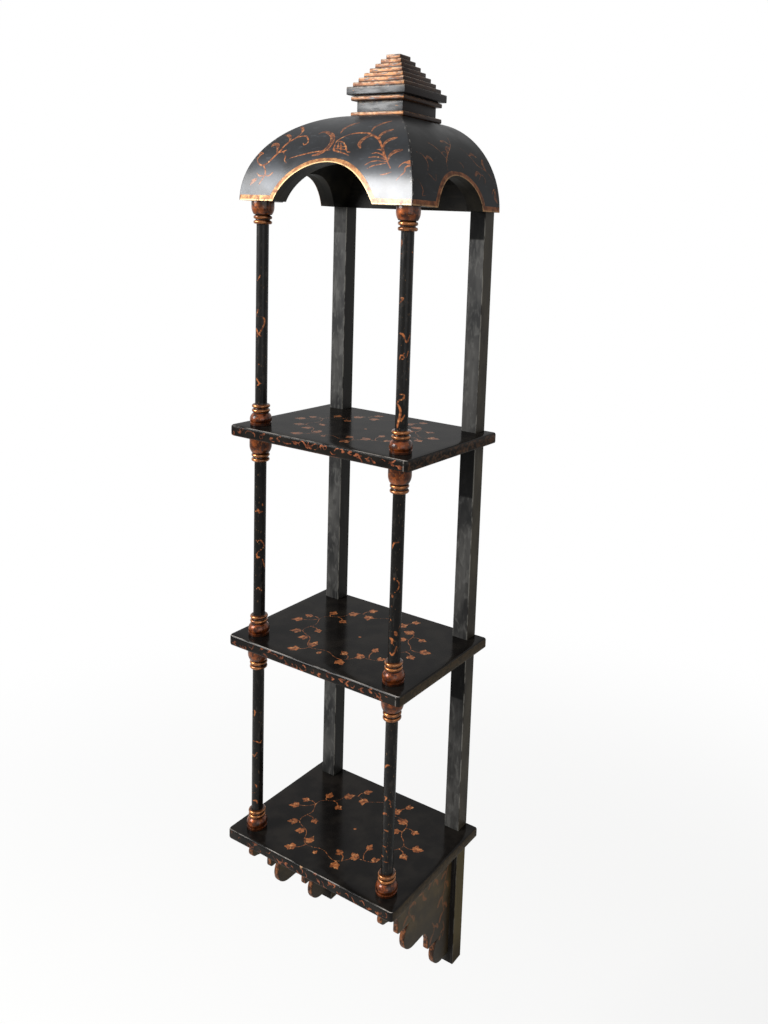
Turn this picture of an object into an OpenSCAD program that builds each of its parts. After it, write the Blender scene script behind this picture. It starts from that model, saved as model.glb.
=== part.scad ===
// Wall display shelf: three shelves on turned columns under a mitred dome.
// The back lies on the wall plane y = 0, the front looks toward -Y, and the
// origin is midway between the entry holes of the two hanger plates.

/* [Shelves] */
// Width of the three shelves
shelf_w = 316; // [296:1:346]
// Depth of the shelves from the wall
shelf_d = 217; // [206:1:235]
// Thickness of the shelves
shelf_t = 16; // [13:0.5:20]
// Radius of the shelves' two front corners in plan
shelf_corner_r = 7; // [6:0.5:14]
// Rounding of the shelves' front and side edges
shelf_ease = 3; // [1:0.5:5]

/* [Bays] */
// Clear height between the bottom and the middle shelf
bay_low_h = 298.5; // [246:0.5:346]
// Clear height between the middle and the top shelf
bay_mid_h = 302.5; // [246:0.5:346]
// Clear height between the top shelf and the dome's rim
bay_top_h = 317.7; // [260:1:360]

/* [Back posts] */
// Width of a post
post_w = 25.9; // [24:0.1:32]
// Depth of a post from the wall
post_d = 23.8; // [20:0.1:30]
// Distance from the shelf's end to the post's outer face
post_inset = 19.4; // [17:0.1:21]
// Length of a post below the bottom shelf's top face
post_drop = 232; // [228:1:270]
// Rounding of a post's upright edges
post_ease = 1.2; // [0.4:0.2:2.4]
// Side gap between a post and its notch in a shelf
notch_gap = 0.15; // [0.05:0.05:0.3]

/* [Turned columns] */
// Distance from the shelf's end to a column's axis
column_in = 32.8; // [31:0.1:33]
// Distance from the shelf's front edge to a column's axis
column_back = 29.2; // [27:0.1:36]
// Radius of the plain shaft
shaft_r = 8.5; // [7.5:0.1:9.3]
// Radius of the low foot under the bulb
foot_r = 14.8; // [13:0.1:16]
// Height of the low foot
foot_h = 3.2; // [2:0.1:4]
// Radius of the thin lip above the foot
lip_r = 15.2; // [14:0.1:16.5]
// Height of the thin lip
lip_h = 1.2; // [0.8:0.1:1.8]
// Largest radius of the bulb
bulb_r = 15.5; // [14:0.1:17]
// Height of the bulb's widest place above the shelf
bulb_z = 9; // [8:0.1:10]
// Radius of the bulb's rounding
bulb_round = 10.5; // [9.5:0.1:11.5]
// Radius of the narrow neck between bulb and rings
bulb_neck_r = 10.8; // [10:0.1:11.5]
// Height of the lower ring's middle above the shelf
ring_low_z = 21.4; // [20.8:0.1:22.2]
// Height of the upper ring's middle above the shelf
ring_high_z = 28; // [27.4:0.1:29]
// Outer radius of the rings
ring_r = 12.9; // [12:0.1:14]
// Rounding radius of the rings
ring_round = 2.6; // [2.2:0.1:2.9]
// Radius of the groove between the rings
groove_r = 9.9; // [9.5:0.1:10.5]
// Radius of the capital's bell at the top
bell_r = 15.7; // [14.5:0.1:17]
// Height of the bell's straight part
bell_straight = 8; // [5:0.1:9]
// Radius of the bell's rounding below the straight part
bell_round = 18; // [15:0.5:24]
// Height of the whole bell
bell_h = 18.4; // [17.5:0.1:19.2]
// How much longer the bells under the top and middle shelves are
bell_more = 6; // [0:0.5:9]
// Depth of the capital's upper ring below the column's top
cap_ring_high_z = 22.1; // [21.6:0.1:23]
// Depth of the capital's lower ring below the column's top
cap_ring_low_z = 28.9; // [28.2:0.1:30]

/* [Dome] */
// How far the dome's rim stays behind the shelves' front edge
rim_back = 6.3; // [2:0.1:10]
// How far the dome's rim stays in from the shelves' ends
rim_in = 11.2; // [8:0.1:14]
// Radius of the outer faces
dome_r = 126; // [122:1:130]
// Thickness of the curved boards
stave_t = 26; // [24:0.5:30]
// Height of the flat crown above the rim
crown_z = 124; // [120:0.5:125.5]
// Thickness of the crown block
crown_t = 26; // [24:0.5:28]
// Thickness of the upright back board
board_t = 12; // [10:0.5:16]
// Gap round the back board's curved edge
board_gap = 0.15; // [0.05:0.05:0.3]
// Height of the lower mitre dowel above the rim
mitre_pin_low = 45; // [38:1:52]
// Height of the upper mitre dowel above the rim
mitre_pin_high = 85; // [76:1:88]
// Height of the back board's side dowels above the rim
board_pin_up = 40; // [30:1:70]
// Distance from the middle to the back board's top dowels
board_pin_side = 25; // [16:1:32]
// Distance from the middle to the crown block's front dowels
crown_pin_side = 22; // [14:1:32]
// Distance from the wall to the crown block's rear side dowels
crown_pin_rear = 30; // [24:1:38]
// Distance from the wall to the crown block's front side dowels
crown_pin_front = 80; // [70:1:86]

/* [Arches] */
// Half of the front arch's width at the rim
arch_half = 85; // [70:0.5:88]
// Height of the front arch above the rim
arch_h = 52.6; // [40:0.5:58]
// Half of a side arch's width at the rim
side_arch_half = 54.75; // [44:0.25:57]
// Height of a side arch above the rim
side_arch_h = 44; // [34:0.5:48]
// Distance from the dome's front to the middle of a side arch
side_arch_in = 111.7; // [106:0.1:116]

/* [Finial] */
// Distance from the wall to the finial's axis
finial_y = 53; // [51.5:0.5:56]
// Half width of the base moulding
base_half = 46.5; // [44:0.5:48]
// Height of the base moulding
base_h = 6.5; // [4:0.5:9]
// Half width of the neck block
neck_half = 40; // [34:0.5:42]
// Height of the neck block
neck_h = 15.5; // [10:0.5:22]
// Half width of the fillet above the neck
fillet_half = 46.5; // [44:0.5:48]
// Height of the fillet
fillet_h = 6; // [4:0.5:9]
// Half width of the quirk under the slab
quirk_half = 42; // [38:0.5:44]
// Height of the quirk
quirk_h = 1.7; // [1:0.1:3]
// Half width of the slab
slab_half = 51; // [48.5:0.5:51]
// Height of the slab
slab_h = 10.8; // [8:0.2:14]
// Half width of the smallest step
step_half = 12.5; // [9:0.5:14]
// How much each lower step is wider at each side
step_run = 5.4; // [4.5:0.1:5.8]
// Height of each step
step_h = 7; // [5:0.25:9]
// Rounding of the finial's level edges
finial_ease = 0.8; // [0.4:0.1:1.2]

/* [Brackets] */
// Distance from the shelf's end to a bracket's middle
bracket_in = 33.5; // [30:0.5:37]
// Thickness of a bracket board
bracket_t = 9; // [8:0.5:14]
// Distance from the shelf's front edge to the bracket's front edge
bracket_back = 19; // [15:0.5:23]
// Radius of the front nose
nose_r = 10; // [7:0.5:11]
// Distance from the bracket's front edge to the nose's middle
nose_in = 6; // [4:0.5:7]
// Drop of the nose's middle below the shelf
nose_drop = 20; // [17:0.5:22]
// Distance from the bracket's front edge to the first cusp
cusp_in = 18.5; // [17:0.5:20]
// Drop of the first cusp below the shelf
cusp_drop = 34; // [32:0.5:36]
// Radius of the coves under the cusps
cove_r = 16; // [12:0.5:17]
// Step in from a cove to the upright bead below it
bead_in = 1; // [0.5:0.5:2]
// Height of the upright bead below a cove
bead_h = 20; // [16:0.5:22]
// Rounding of the bead's lower corner
bead_r = 5; // [3:0.5:7]
// Radius of the round lobes
lobe_r = 26; // [22:0.5:27]
// Distance from a cusp to the lobe's middle, toward the wall
lobe_in = 59; // [57:0.5:62]
// Distance from one cusp to the next, toward the wall
scallop_run = 79.5; // [78:0.5:82]
// Drop from one cusp to the next
scallop_drop = 83; // [80:0.5:86]
// Drop of the upper bracket screw below the shelf
bracket_screw_high = 46; // [30:1:66]
// Drop of the lower bracket screw below the shelf
bracket_screw_low = 164; // [136:1:186]

/* [Fixings] */
// Radius of the long and short dowels
dowel_r = 4; // [3:0.25:4.5]
// Depth of a dowel's bore in each piece
dowel_depth = 15; // [10:0.5:18]
// Depth of the short dowels' bores in the bottom shelf
dowel_depth_low = 10; // [8:0.5:11]
// Clearance round dowels and screws
fit_gap = 0.15; // [0.05:0.05:0.25]
// Clearance beyond the end of a dowel or a screw
end_gap = 0.5; // [0.2:0.1:1]
// Radius of the mitre dowels and the back board's dowels
pin_r = 3; // [2:0.25:3.5]
// Depth of these thin dowels in each piece
pin_depth = 9; // [6:0.5:10]
// Radius of the finial's centre dowel
finial_dowel_r = 5; // [4:0.25:6]
// Depth of the finial's centre dowel in the crown block
finial_dowel_in = 16; // [10:0.5:20]
// Shank radius of the shelf and bracket screws
screw_r = 2; // [1.5:0.1:2.4]
// Head radius of the shelf and bracket screws
screw_head_r = 4; // [3.2:0.1:4.6]
// Length of a shelf or bracket screw
screw_l = 48; // [42:1:54]
// Depth of a screw head below the post's back
screw_sink = 0.5; // [0.2:0.1:1.5]

/* [Hanger plates] */
// Height of the dome's rim above the plates' entry holes
hanger_drop = 40; // [38:0.5:60]
// Width of a hanger plate
plate_w = 18; // [16:0.5:20]
// Thickness of a hanger plate
plate_t = 2; // [1.5:0.1:3]
// Length of a plate above the entry hole
plate_up = 28; // [26:0.5:30]
// Length of a plate below the entry hole
plate_down = 20; // [17:0.5:24]
// Radius of the entry hole
entry_r = 4.5; // [4:0.1:5]
// Width of the slot above the entry hole
slot_w = 4.6; // [4:0.1:5]
// Length of the slot above the entry hole's middle
slot_l = 12; // [10:0.5:13]
// Rounding of a plate's corners
plate_corner_r = 3; // [1:0.5:5]
// Depth of the pocket behind a plate
pocket_d = 10; // [8:0.5:12]
// Room round the wall screw's head in the pocket
pocket_play = 1; // [0.6:0.1:1.2]
// Shank radius of a plate screw
plate_screw_r = 1.4; // [1:0.1:1.6]
// Head radius of a plate screw
plate_screw_head_r = 3; // [2.4:0.1:3.2]
// Length of a plate screw
plate_screw_l = 13; // [10:0.5:15]
// Distance from the entry hole to the upper plate screw
plate_screw_up = 20.5; // [19.5:0.5:22]
// Distance from the entry hole to the lower plate screw
plate_screw_down = 13; // [11:0.5:14]

/* [Hidden] */
$fn = 96;
black = "#1b1a1b";
copper = "#a8602f";
charcoal = "#2e2d2e";
beech = "#c9a676";
steel = "#b9bcc0";

// Heights, from the rim down and up
rim_z = hanger_drop;
top_z = rim_z - bay_top_h;
middle_z = top_z - shelf_t - bay_mid_h;
bottom_z = middle_z - shelf_t - bay_low_h;
under_z = bottom_z - shelf_t;
post_low_z = bottom_z - post_drop;

// Plan positions
half_w = shelf_w / 2;
front_y = -shelf_d;
post_x = half_w - post_inset - post_w / 2;
column_x = half_w - column_in;
column_y = front_y + column_back;
screw_z = [top_z - shelf_t / 2, middle_z - shelf_t / 2, bottom_z - shelf_t / 2];

// Dome: the faces are quarter cylinders that spring upright at the rim
dome_d = shelf_d - rim_back;
dome_half_w = half_w - rim_in;
dome_y = dome_r - dome_d;
dome_x = dome_half_w - dome_r;
stave_in_r = dome_r - stave_t;
crown_off = sqrt(dome_r * dome_r - crown_z * crown_z);
crown_x = dome_x + crown_off;
crown_y = dome_y - crown_off;
block_z = crown_z - crown_t;
arch_r = (arch_half * arch_half + arch_h * arch_h) / (2 * arch_h);
side_arch_r = (side_arch_half * side_arch_half + side_arch_h * side_arch_h)
    / (2 * side_arch_h);
side_arch_y = side_arch_in - dome_d;
post_dowel_x = (dome_half_w - stave_t + post_x + post_w / 2) / 2;
crown_dowel_z = crown_z - crown_t / 2;

// Finial heights above the rim
base_z = crown_z;
neck_z = base_z + base_h;
fillet_z = neck_z + neck_h;
slab_z = fillet_z + fillet_h;
steps_z = slab_z + quirk_h + slab_h;
step_count = 7;
finial_dowel_low = crown_z - finial_dowel_in;
finial_dowel_top = steps_z + step_h * 4 + step_h / 2;

// Bracket
bracket_x = half_w - bracket_in;
bracket_front = front_y + bracket_back;
bracket_rear = -post_d;
bracket_screw_z = [
    under_z - bracket_screw_high, under_z - bracket_screw_low
];

function step_half_at(i) = step_half + (step_count - i) * step_run;

// Rectangle with rounded corners, its middle at the origin
module round_rect(w, h, r) {
    square([w - 2 * r, h], center = true);
    square([w, h - 2 * r], center = true);
    for (x = [-1, 1], y = [-1, 1])
        translate([x * (w / 2 - r), y * (h / 2 - r)]) circle(r);
}

// Countersunk screw along +Z, its flat head face at the origin
module screw_form(shank, head, length) {
    rotate_extrude() polygon([
        [0, 0], [head, 0], [shank, head - shank], [shank, length - shank],
        [0, length]
    ]);
}

// Bore for such a screw, open through everything in front of its head
module screw_bore(shank, head, length, sink) {
    rotate_extrude() polygon([
        [0, -sink - 1], [head + fit_gap, -sink - 1], [head + fit_gap, 0],
        [shank + fit_gap, head - shank],
        [shank + fit_gap, length + end_gap], [0, length + end_gap]
    ]);
}

// Plain dowel along +Z from the origin
module dowel_form(r, length) {
    cylinder(r = r, h = length);
}

// Long and short dowels stand on the bottom of their lower bore
module column_dowel_spots() {
    for (s = [-1, 1]) translate([s * column_x, column_y, 0]) children();
}

module shelf_dowel_bores(z, low, high) {
    column_dowel_spots() translate([0, 0, z - low])
        cylinder(r = dowel_r + fit_gap, h = low + high);
}

// Shelf with its top face at z = 0
module shelf_blank() {
    w = shelf_w - 2 * shelf_corner_r;
    for (s = [-1, 1])
        translate([s * w / 2, front_y + shelf_corner_r, 0])
            rotate_extrude() intersection() {
                translate([0, -shelf_t / 2])
                    round_rect(2 * shelf_corner_r, shelf_t, shelf_ease);
                translate([0, -shelf_t]) square([shelf_corner_r, shelf_t]);
            }
    // Middle strip, rounded along the front
    translate([-w / 2, 0, 0]) rotate([90, 0, 90]) linear_extrude(w)
        intersection() {
            translate([0, -shelf_t / 2])
                round_rect(2 * shelf_d, shelf_t, shelf_ease);
            translate([front_y, -shelf_t]) square([shelf_d, shelf_t]);
        }
    // Wide strip behind the rounded corners
    rotate([90, 0, 0]) linear_extrude(shelf_d - shelf_corner_r)
        translate([0, -shelf_t / 2]) round_rect(shelf_w, shelf_t, shelf_ease);
}

module post_notches() {
    for (s = [-1, 1])
        translate([s * post_x - post_w / 2 - notch_gap, -post_d, -shelf_t - 1])
            cube([post_w + 2 * notch_gap, post_d + 1, shelf_t + 2]);
}

module shelf_body(z) {
    difference() {
        translate([0, 0, z]) shelf_blank();
        translate([0, 0, z]) post_notches();
        shelf_screw_bores();
    }
}

module shelf_top() {
    color(black) difference() {
        shelf_body(top_z);
        shelf_dowel_bores(top_z - shelf_t, 1, shelf_t + 2);
    }
}

module shelf_middle() {
    color(black) difference() {
        shelf_body(middle_z);
        shelf_dowel_bores(middle_z - shelf_t, 1, shelf_t + 2);
    }
}

module shelf_bottom() {
    color(black) difference() {
        shelf_body(bottom_z);
        shelf_dowel_bores(bottom_z, dowel_depth_low, 1);
    }
}

// Screws through the posts into the shelves and the brackets
module shelf_screw_spots() {
    for (s = [-1, 1], z = screw_z)
        translate([s * post_x, -screw_sink, z]) rotate([90, 0, 0]) children();
}

module bracket_screw_spots() {
    for (s = [-1, 1], z = bracket_screw_z)
        translate([s * bracket_x, -screw_sink, z]) rotate([90, 0, 0])
            children();
}

module shelf_screw_bores() {
    shelf_screw_spots() screw_bore(screw_r, screw_head_r, screw_l, screw_sink);
}

module bracket_screw_bores() {
    bracket_screw_spots()
        screw_bore(screw_r, screw_head_r, screw_l, screw_sink);
}

module shelf_screws() {
    color(steel) shelf_screw_spots()
        screw_form(screw_r, screw_head_r, screw_l);
}

module bracket_screws() {
    color(steel) bracket_screw_spots()
        screw_form(screw_r, screw_head_r, screw_l);
}

// Outline of a hanger plate, its entry hole at the origin
module plate_outline(gap) {
    translate([0, (plate_up - plate_down) / 2])
        round_rect(
            plate_w + 2 * gap, plate_up + plate_down + 2 * gap,
            plate_corner_r + gap
        );
}

module plate_screw_spots() {
    for (z = [plate_screw_up, -plate_screw_down])
        translate([0, 0, z]) rotate([90, 0, 0]) children();
}

module hanger_plate() {
    difference() {
        rotate([90, 0, 0]) linear_extrude(plate_t) difference() {
            plate_outline(0);
            circle(entry_r);
            translate([-slot_w / 2, 0]) square([slot_w, slot_l]);
            translate([0, slot_l]) circle(slot_w / 2);
        }
        plate_screw_spots()
            screw_bore(plate_screw_r, plate_screw_head_r, plate_screw_l, 0);
    }
}

module hanger_plate_left() {
    color(steel) translate([-post_x, 0, 0]) hanger_plate();
}

module hanger_plate_right() {
    color(steel) translate([post_x, 0, 0]) hanger_plate();
}

module hanger_screws() {
    color(steel) for (s = [-1, 1]) translate([s * post_x, 0, 0])
        plate_screw_spots()
            screw_form(plate_screw_r, plate_screw_head_r, plate_screw_l);
}

// Recess for a hanger plate and the pocket for the wall screw's head
module hanger_recess() {
    pocket_r = entry_r + pocket_play;
    translate([0, 1, 0]) rotate([90, 0, 0]) linear_extrude(plate_t + 1)
        plate_outline(fit_gap);
    translate([0, 1, 0]) rotate([90, 0, 0])
        linear_extrude(plate_t + pocket_d + 1) {
            translate([-pocket_r, 0]) square([2 * pocket_r, slot_l]);
            for (z = [0, slot_l]) translate([0, z]) circle(pocket_r);
        }
    plate_screw_spots()
        screw_bore(plate_screw_r, plate_screw_head_r, plate_screw_l, 0);
}

module post_body() {
    difference() {
        translate([0, -post_d / 2, post_low_z])
            linear_extrude(rim_z - post_low_z)
                round_rect(post_w, post_d, post_ease);
        hanger_recess();
    }
}

module post_left() {
    color(charcoal) difference() {
        translate([-post_x, 0, 0]) post_body();
        shelf_screw_bores();
        bracket_screw_bores();
        rim_dowel_bores();
    }
}

module post_right() {
    color(charcoal) difference() {
        translate([post_x, 0, 0]) post_body();
        shelf_screw_bores();
        bracket_screw_bores();
        rim_dowel_bores();
    }
}

// Half section of a turned column of length h, standing on z = 0, with its
// bell longer at the top by more
module column_section(h, more) {
    bulb_axis = bulb_r - bulb_round;
    bell_axis = bell_r - bell_round;
    cap = h - more;
    top = cap - bell_straight;
    square([shaft_r, h]);
    square([foot_r, foot_h]);
    translate([0, foot_h]) square([lip_r, lip_h]);
    intersection() {
        translate([bulb_axis, bulb_z]) circle(bulb_round);
        translate([0, foot_h + lip_h])
            square([bulb_r, ring_low_z - foot_h - lip_h]);
    }
    translate([0, foot_h + lip_h])
        square([bulb_axis, bulb_z + bulb_round - foot_h - lip_h]);
    translate([0, foot_h]) square([bulb_neck_r, ring_low_z - foot_h]);
    translate([0, ring_low_z]) square([groove_r, ring_high_z - ring_low_z]);
    for (z = [
        ring_low_z, ring_high_z, cap - cap_ring_high_z, cap - cap_ring_low_z
    ]) {
        translate([ring_r - ring_round, z]) circle(ring_round);
        translate([0, z - ring_round])
            square([ring_r - ring_round, 2 * ring_round]);
    }
    translate([0, cap - cap_ring_low_z])
        square([groove_r, cap_ring_low_z - bell_h]);
    translate([0, top]) square([bell_r, bell_straight + more]);
    intersection() {
        translate([bell_axis, top]) circle(bell_round);
        translate([0, cap - bell_h]) square([bell_r, bell_h - bell_straight]);
    }
}

module column(z, h, more) {
    difference() {
        translate([0, 0, z]) rotate_extrude() column_section(h, more);
        translate([0, 0, z - 1])
            cylinder(r = dowel_r + fit_gap, h = dowel_depth + 1);
        translate([0, 0, z + h - dowel_depth])
            cylinder(r = dowel_r + fit_gap, h = dowel_depth + 1);
    }
}

module column_top_left() {
    color(copper) translate([-column_x, column_y, 0])
        column(top_z, bay_top_h, 0);
}

module column_top_right() {
    color(copper) translate([column_x, column_y, 0])
        column(top_z, bay_top_h, 0);
}

module column_middle_left() {
    color(copper) translate([-column_x, column_y, 0])
        column(middle_z, bay_mid_h, bell_more);
}

module column_middle_right() {
    color(copper) translate([column_x, column_y, 0])
        column(middle_z, bay_mid_h, bell_more);
}

module column_bottom_left() {
    color(copper) translate([-column_x, column_y, 0])
        column(bottom_z, bay_low_h, bell_more);
}

module column_bottom_right() {
    color(copper) translate([column_x, column_y, 0])
        column(bottom_z, bay_low_h, bell_more);
}

// Dowels right through the middle and top shelves into both columns
module shelf_dowels_long() {
    color(beech) for (z = [top_z, middle_z])
        column_dowel_spots() translate([0, 0, z - shelf_t - dowel_depth])
            dowel_form(dowel_r, shelf_t + 2 * dowel_depth - end_gap);
}

// Dowels at the bottom shelf and at the rim, over columns and posts
module rim_dowel_spots() {
    translate([0, 0, rim_z]) {
        column_dowel_spots() children();
        for (s = [-1, 1])
            translate([s * post_dowel_x, -post_d / 2, 0]) children();
    }
}

module rim_dowel_bores() {
    rim_dowel_spots() translate([0, 0, -dowel_depth])
        cylinder(r = dowel_r + fit_gap, h = 2 * dowel_depth);
}

module shelf_dowels_short() {
    color(beech) {
        column_dowel_spots() translate([0, 0, bottom_z - dowel_depth_low])
            dowel_form(dowel_r, dowel_depth_low + dowel_depth - end_gap);
        rim_dowel_spots() translate([0, 0, -dowel_depth])
            dowel_form(dowel_r, 2 * dowel_depth - end_gap);
    }
}

// Brackets: board in the Y-Z plane with a scalloped lower edge
module scallop(y, z) {
    bead_y = y + cove_r + bead_in;
    bead_z = z - cove_r - bead_h;
    low_z = z - scallop_drop;
    rear = bracket_rear;
    translate([y, z]) square([rear - y, under_z - z]);
    difference() {
        translate([y, z - cove_r]) square([cove_r + bead_in, cove_r]);
        translate([y, z - cove_r]) circle(cove_r);
    }
    translate([bead_y, bead_z + bead_r])
        square([rear - bead_y, z - bead_z - bead_r]);
    translate([bead_y + bead_r, bead_z])
        square([rear - bead_y - bead_r, z - bead_z]);
    translate([bead_y + bead_r, bead_z + bead_r]) circle(bead_r);
    translate([y + lobe_in, z - scallop_drop + lobe_r]) circle(lobe_r);
    translate([y + lobe_in, low_z]) square([rear - y - lobe_in, z - low_z]);
}

module bracket_profile() {
    cusp_y = bracket_front + cusp_in;
    cusp_z = under_z - cusp_drop;
    nose_y = bracket_front + nose_in;
    nose_z = under_z - nose_drop;
    intersection() {
        union() {
            translate([nose_y, nose_z]) circle(nose_r);
            translate([bracket_front, nose_z])
                square([cusp_in + 1, nose_drop]);
            polygon([
                [nose_y, nose_z], [nose_y, nose_z - nose_r], [cusp_y, cusp_z],
                [cusp_y + 1, nose_z]
            ]);
            for (i = [0, 1])
                scallop(cusp_y + i * scallop_run, cusp_z - i * scallop_drop);
        }
        translate([front_y, under_z - 2 * scallop_drop - cusp_drop])
            square([
                bracket_rear - front_y, 2 * scallop_drop + cusp_drop
            ]);
    }
}

module bracket() {
    translate([-bracket_t / 2, 0, 0]) rotate([90, 0, 90])
        linear_extrude(bracket_t) bracket_profile();
}

module bracket_left() {
    color(charcoal) difference() {
        translate([-bracket_x, 0, 0]) bracket();
        bracket_screw_bores();
    }
}

module bracket_right() {
    color(charcoal) difference() {
        translate([bracket_x, 0, 0]) bracket();
        bracket_screw_bores();
    }
}

// Quarter ring of a curved board in section, from its springing at the rim
module stave_ring() {
    intersection() {
        difference() {
            circle(dome_r);
            circle(stave_in_r);
        }
        translate([crown_off, 0]) square([dome_r, crown_z]);
    }
}

// Mitre dowels lie level, square to the 45 degree joints
module mitre_spots() {
    mid_r = dome_r - stave_t / 2;
    for (s = [-1, 1], z = [mitre_pin_low, mitre_pin_high]) {
        off = sqrt(mid_r * mid_r - z * z);
        translate([s * (dome_x + off), dome_y - off, rim_z + z])
            rotate([0, 90, s * 45]) children();
    }
}

module mitre_dowels() {
    color(beech) mitre_spots() translate([0, 0, -pin_depth])
        dowel_form(pin_r, 2 * pin_depth - end_gap);
}

module mitre_bores() {
    mitre_spots() translate([0, 0, -pin_depth])
        cylinder(r = pin_r + fit_gap, h = 2 * pin_depth);
}

// Dowels that tie the crown block to the curved boards
module crown_dowel_spots() {
    translate([0, 0, rim_z + crown_dowel_z]) {
        for (s = [-1, 1]) {
            translate([s * crown_pin_side, crown_y, 0]) rotate([90, 0, 0])
                children();
            for (y = [crown_pin_rear, crown_pin_front])
                translate([s * crown_x, -y, 0]) rotate([0, s * 90, 0])
                    children();
        }
    }
}

module crown_dowels() {
    color(beech) crown_dowel_spots() translate([0, 0, -dowel_depth])
        dowel_form(dowel_r, 2 * dowel_depth - end_gap);
}

module crown_bores() {
    crown_dowel_spots() translate([0, 0, -dowel_depth])
        cylinder(r = dowel_r + fit_gap, h = 2 * dowel_depth);
}

// Thin dowels round the back board
module board_pin_spots() {
    in_x = dome_x + sqrt(stave_in_r * stave_in_r - board_pin_up * board_pin_up);
    for (s = [-1, 1]) translate([0, -board_t / 2, rim_z]) {
        translate([s * board_pin_side, 0, block_z]) children();
        translate([s * in_x, 0, board_pin_up]) rotate([0, s * 90, 0])
            children();
    }
}

module back_board_dowels() {
    color(beech) board_pin_spots() translate([0, 0, -pin_depth])
        dowel_form(pin_r, 2 * pin_depth - end_gap);
}

module board_bores() {
    board_pin_spots() translate([0, 0, -pin_depth])
        cylinder(r = pin_r + fit_gap, h = 2 * pin_depth);
}

// Plan of the front board: between the two mitres
module front_plan() {
    polygon([
        [-dome_half_w, -dome_d], [dome_half_w, -dome_d],
        [crown_x, crown_y], [-crown_x, crown_y]
    ]);
}

// Plan of the right board: from the mitre to the wall
module side_plan() {
    polygon([
        [dome_half_w, -dome_d], [dome_half_w, 0], [crown_x, 0],
        [crown_x, crown_y]
    ]);
}

module dome_front() {
    color(copper) difference() {
        intersection() {
            translate([-dome_half_w, dome_y, rim_z]) rotate([90, 0, 90])
                linear_extrude(2 * dome_half_w) mirror([1, 0]) stave_ring();
            translate([0, 0, rim_z]) linear_extrude(crown_z) front_plan();
        }
        translate([0, 0, rim_z + arch_h - arch_r]) rotate([90, 0, 0])
            cylinder(r = arch_r, h = dome_d + 10, $fn = 180);
        mitre_bores();
        crown_bores();
        rim_dowel_bores();
    }
}

module side_board() {
    difference() {
        intersection() {
            translate([dome_x, 0, rim_z]) rotate([90, 0, 0])
                linear_extrude(dome_d) stave_ring();
            translate([0, 0, rim_z]) linear_extrude(crown_z) side_plan();
        }
        translate([0, side_arch_y, rim_z + side_arch_h - side_arch_r])
            rotate([0, 90, 0])
                cylinder(r = side_arch_r, h = dome_half_w + 10, $fn = 180);
        mitre_bores();
        crown_bores();
        rim_dowel_bores();
        board_bores();
    }
}

module dome_right() {
    color(copper) side_board();
}

module dome_left() {
    color(copper) mirror([1, 0, 0]) side_board();
}

// Upright back board, let in between the curved boards
module dome_back_board() {
    r = stave_in_r - board_gap;
    color(charcoal) difference() {
        translate([0, 0, rim_z]) rotate([90, 0, 0]) linear_extrude(board_t)
            intersection() {
                union() {
                    for (s = [-1, 1]) translate([s * dome_x, 0]) circle(r);
                    translate([-dome_x, 0]) square([2 * dome_x, block_z]);
                }
                translate([-dome_half_w, 0])
                    square([2 * dome_half_w, block_z]);
            }
        board_bores();
    }
}

module dome_crown_block() {
    color(black) difference() {
        translate([-crown_x, crown_y, rim_z + block_z])
            cube([2 * crown_x, -crown_y, crown_t]);
        crown_bores();
        board_bores();
        finial_dowel_bore();
    }
}

// Square block with rounded level edges, on the finial's axis
module square_block(z, half, h) {
    translate([0, -finial_y, rim_z + z + h / 2]) intersection() {
        translate([0, half, 0]) rotate([90, 0, 0]) linear_extrude(2 * half)
            round_rect(2 * half, h, finial_ease);
        translate([-half, 0, 0]) rotate([90, 0, 90])
            linear_extrude(2 * half) round_rect(2 * half, h, finial_ease);
    }
}

module finial_dowel_bore() {
    translate([0, -finial_y, rim_z + finial_dowel_low])
        cylinder(
            r = finial_dowel_r + fit_gap,
            h = finial_dowel_top - finial_dowel_low
        );
}

module finial_dowel() {
    color(beech) translate([0, -finial_y, rim_z + finial_dowel_low])
        dowel_form(
            finial_dowel_r, finial_dowel_top - finial_dowel_low - end_gap
        );
}

module finial_base() {
    color(copper) difference() {
        square_block(base_z, base_half, base_h);
        finial_dowel_bore();
    }
}

module finial_neck() {
    color(black) difference() {
        translate([-neck_half, -finial_y - neck_half, rim_z + neck_z])
            cube([2 * neck_half, 2 * neck_half, neck_h]);
        finial_dowel_bore();
    }
}

module finial_fillet() {
    color(copper) difference() {
        square_block(fillet_z, fillet_half, fillet_h);
        finial_dowel_bore();
    }
}

// Slab with the narrower quirk under it
module finial_slab() {
    color(black) difference() {
        union() {
            square_block(slab_z + quirk_h, slab_half, slab_h);
            translate([-quirk_half, -finial_y - quirk_half, rim_z + slab_z])
                cube([2 * quirk_half, 2 * quirk_half, quirk_h + slab_h / 2]);
        }
        finial_dowel_bore();
    }
}

// Step i, counted from 1 at the bottom
module finial_step(i) {
    color(copper) difference() {
        square_block(steps_z + (i - 1) * step_h, step_half_at(i), step_h);
        finial_dowel_bore();
    }
}

module finial_step_1() {
    finial_step(1);
}

module finial_step_2() {
    finial_step(2);
}

module finial_step_3() {
    finial_step(3);
}

module finial_step_4() {
    finial_step(4);
}

module finial_step_5() {
    finial_step(5);
}

module finial_step_6() {
    finial_step(6);
}

module finial_step_7() {
    finial_step(7);
}

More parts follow.
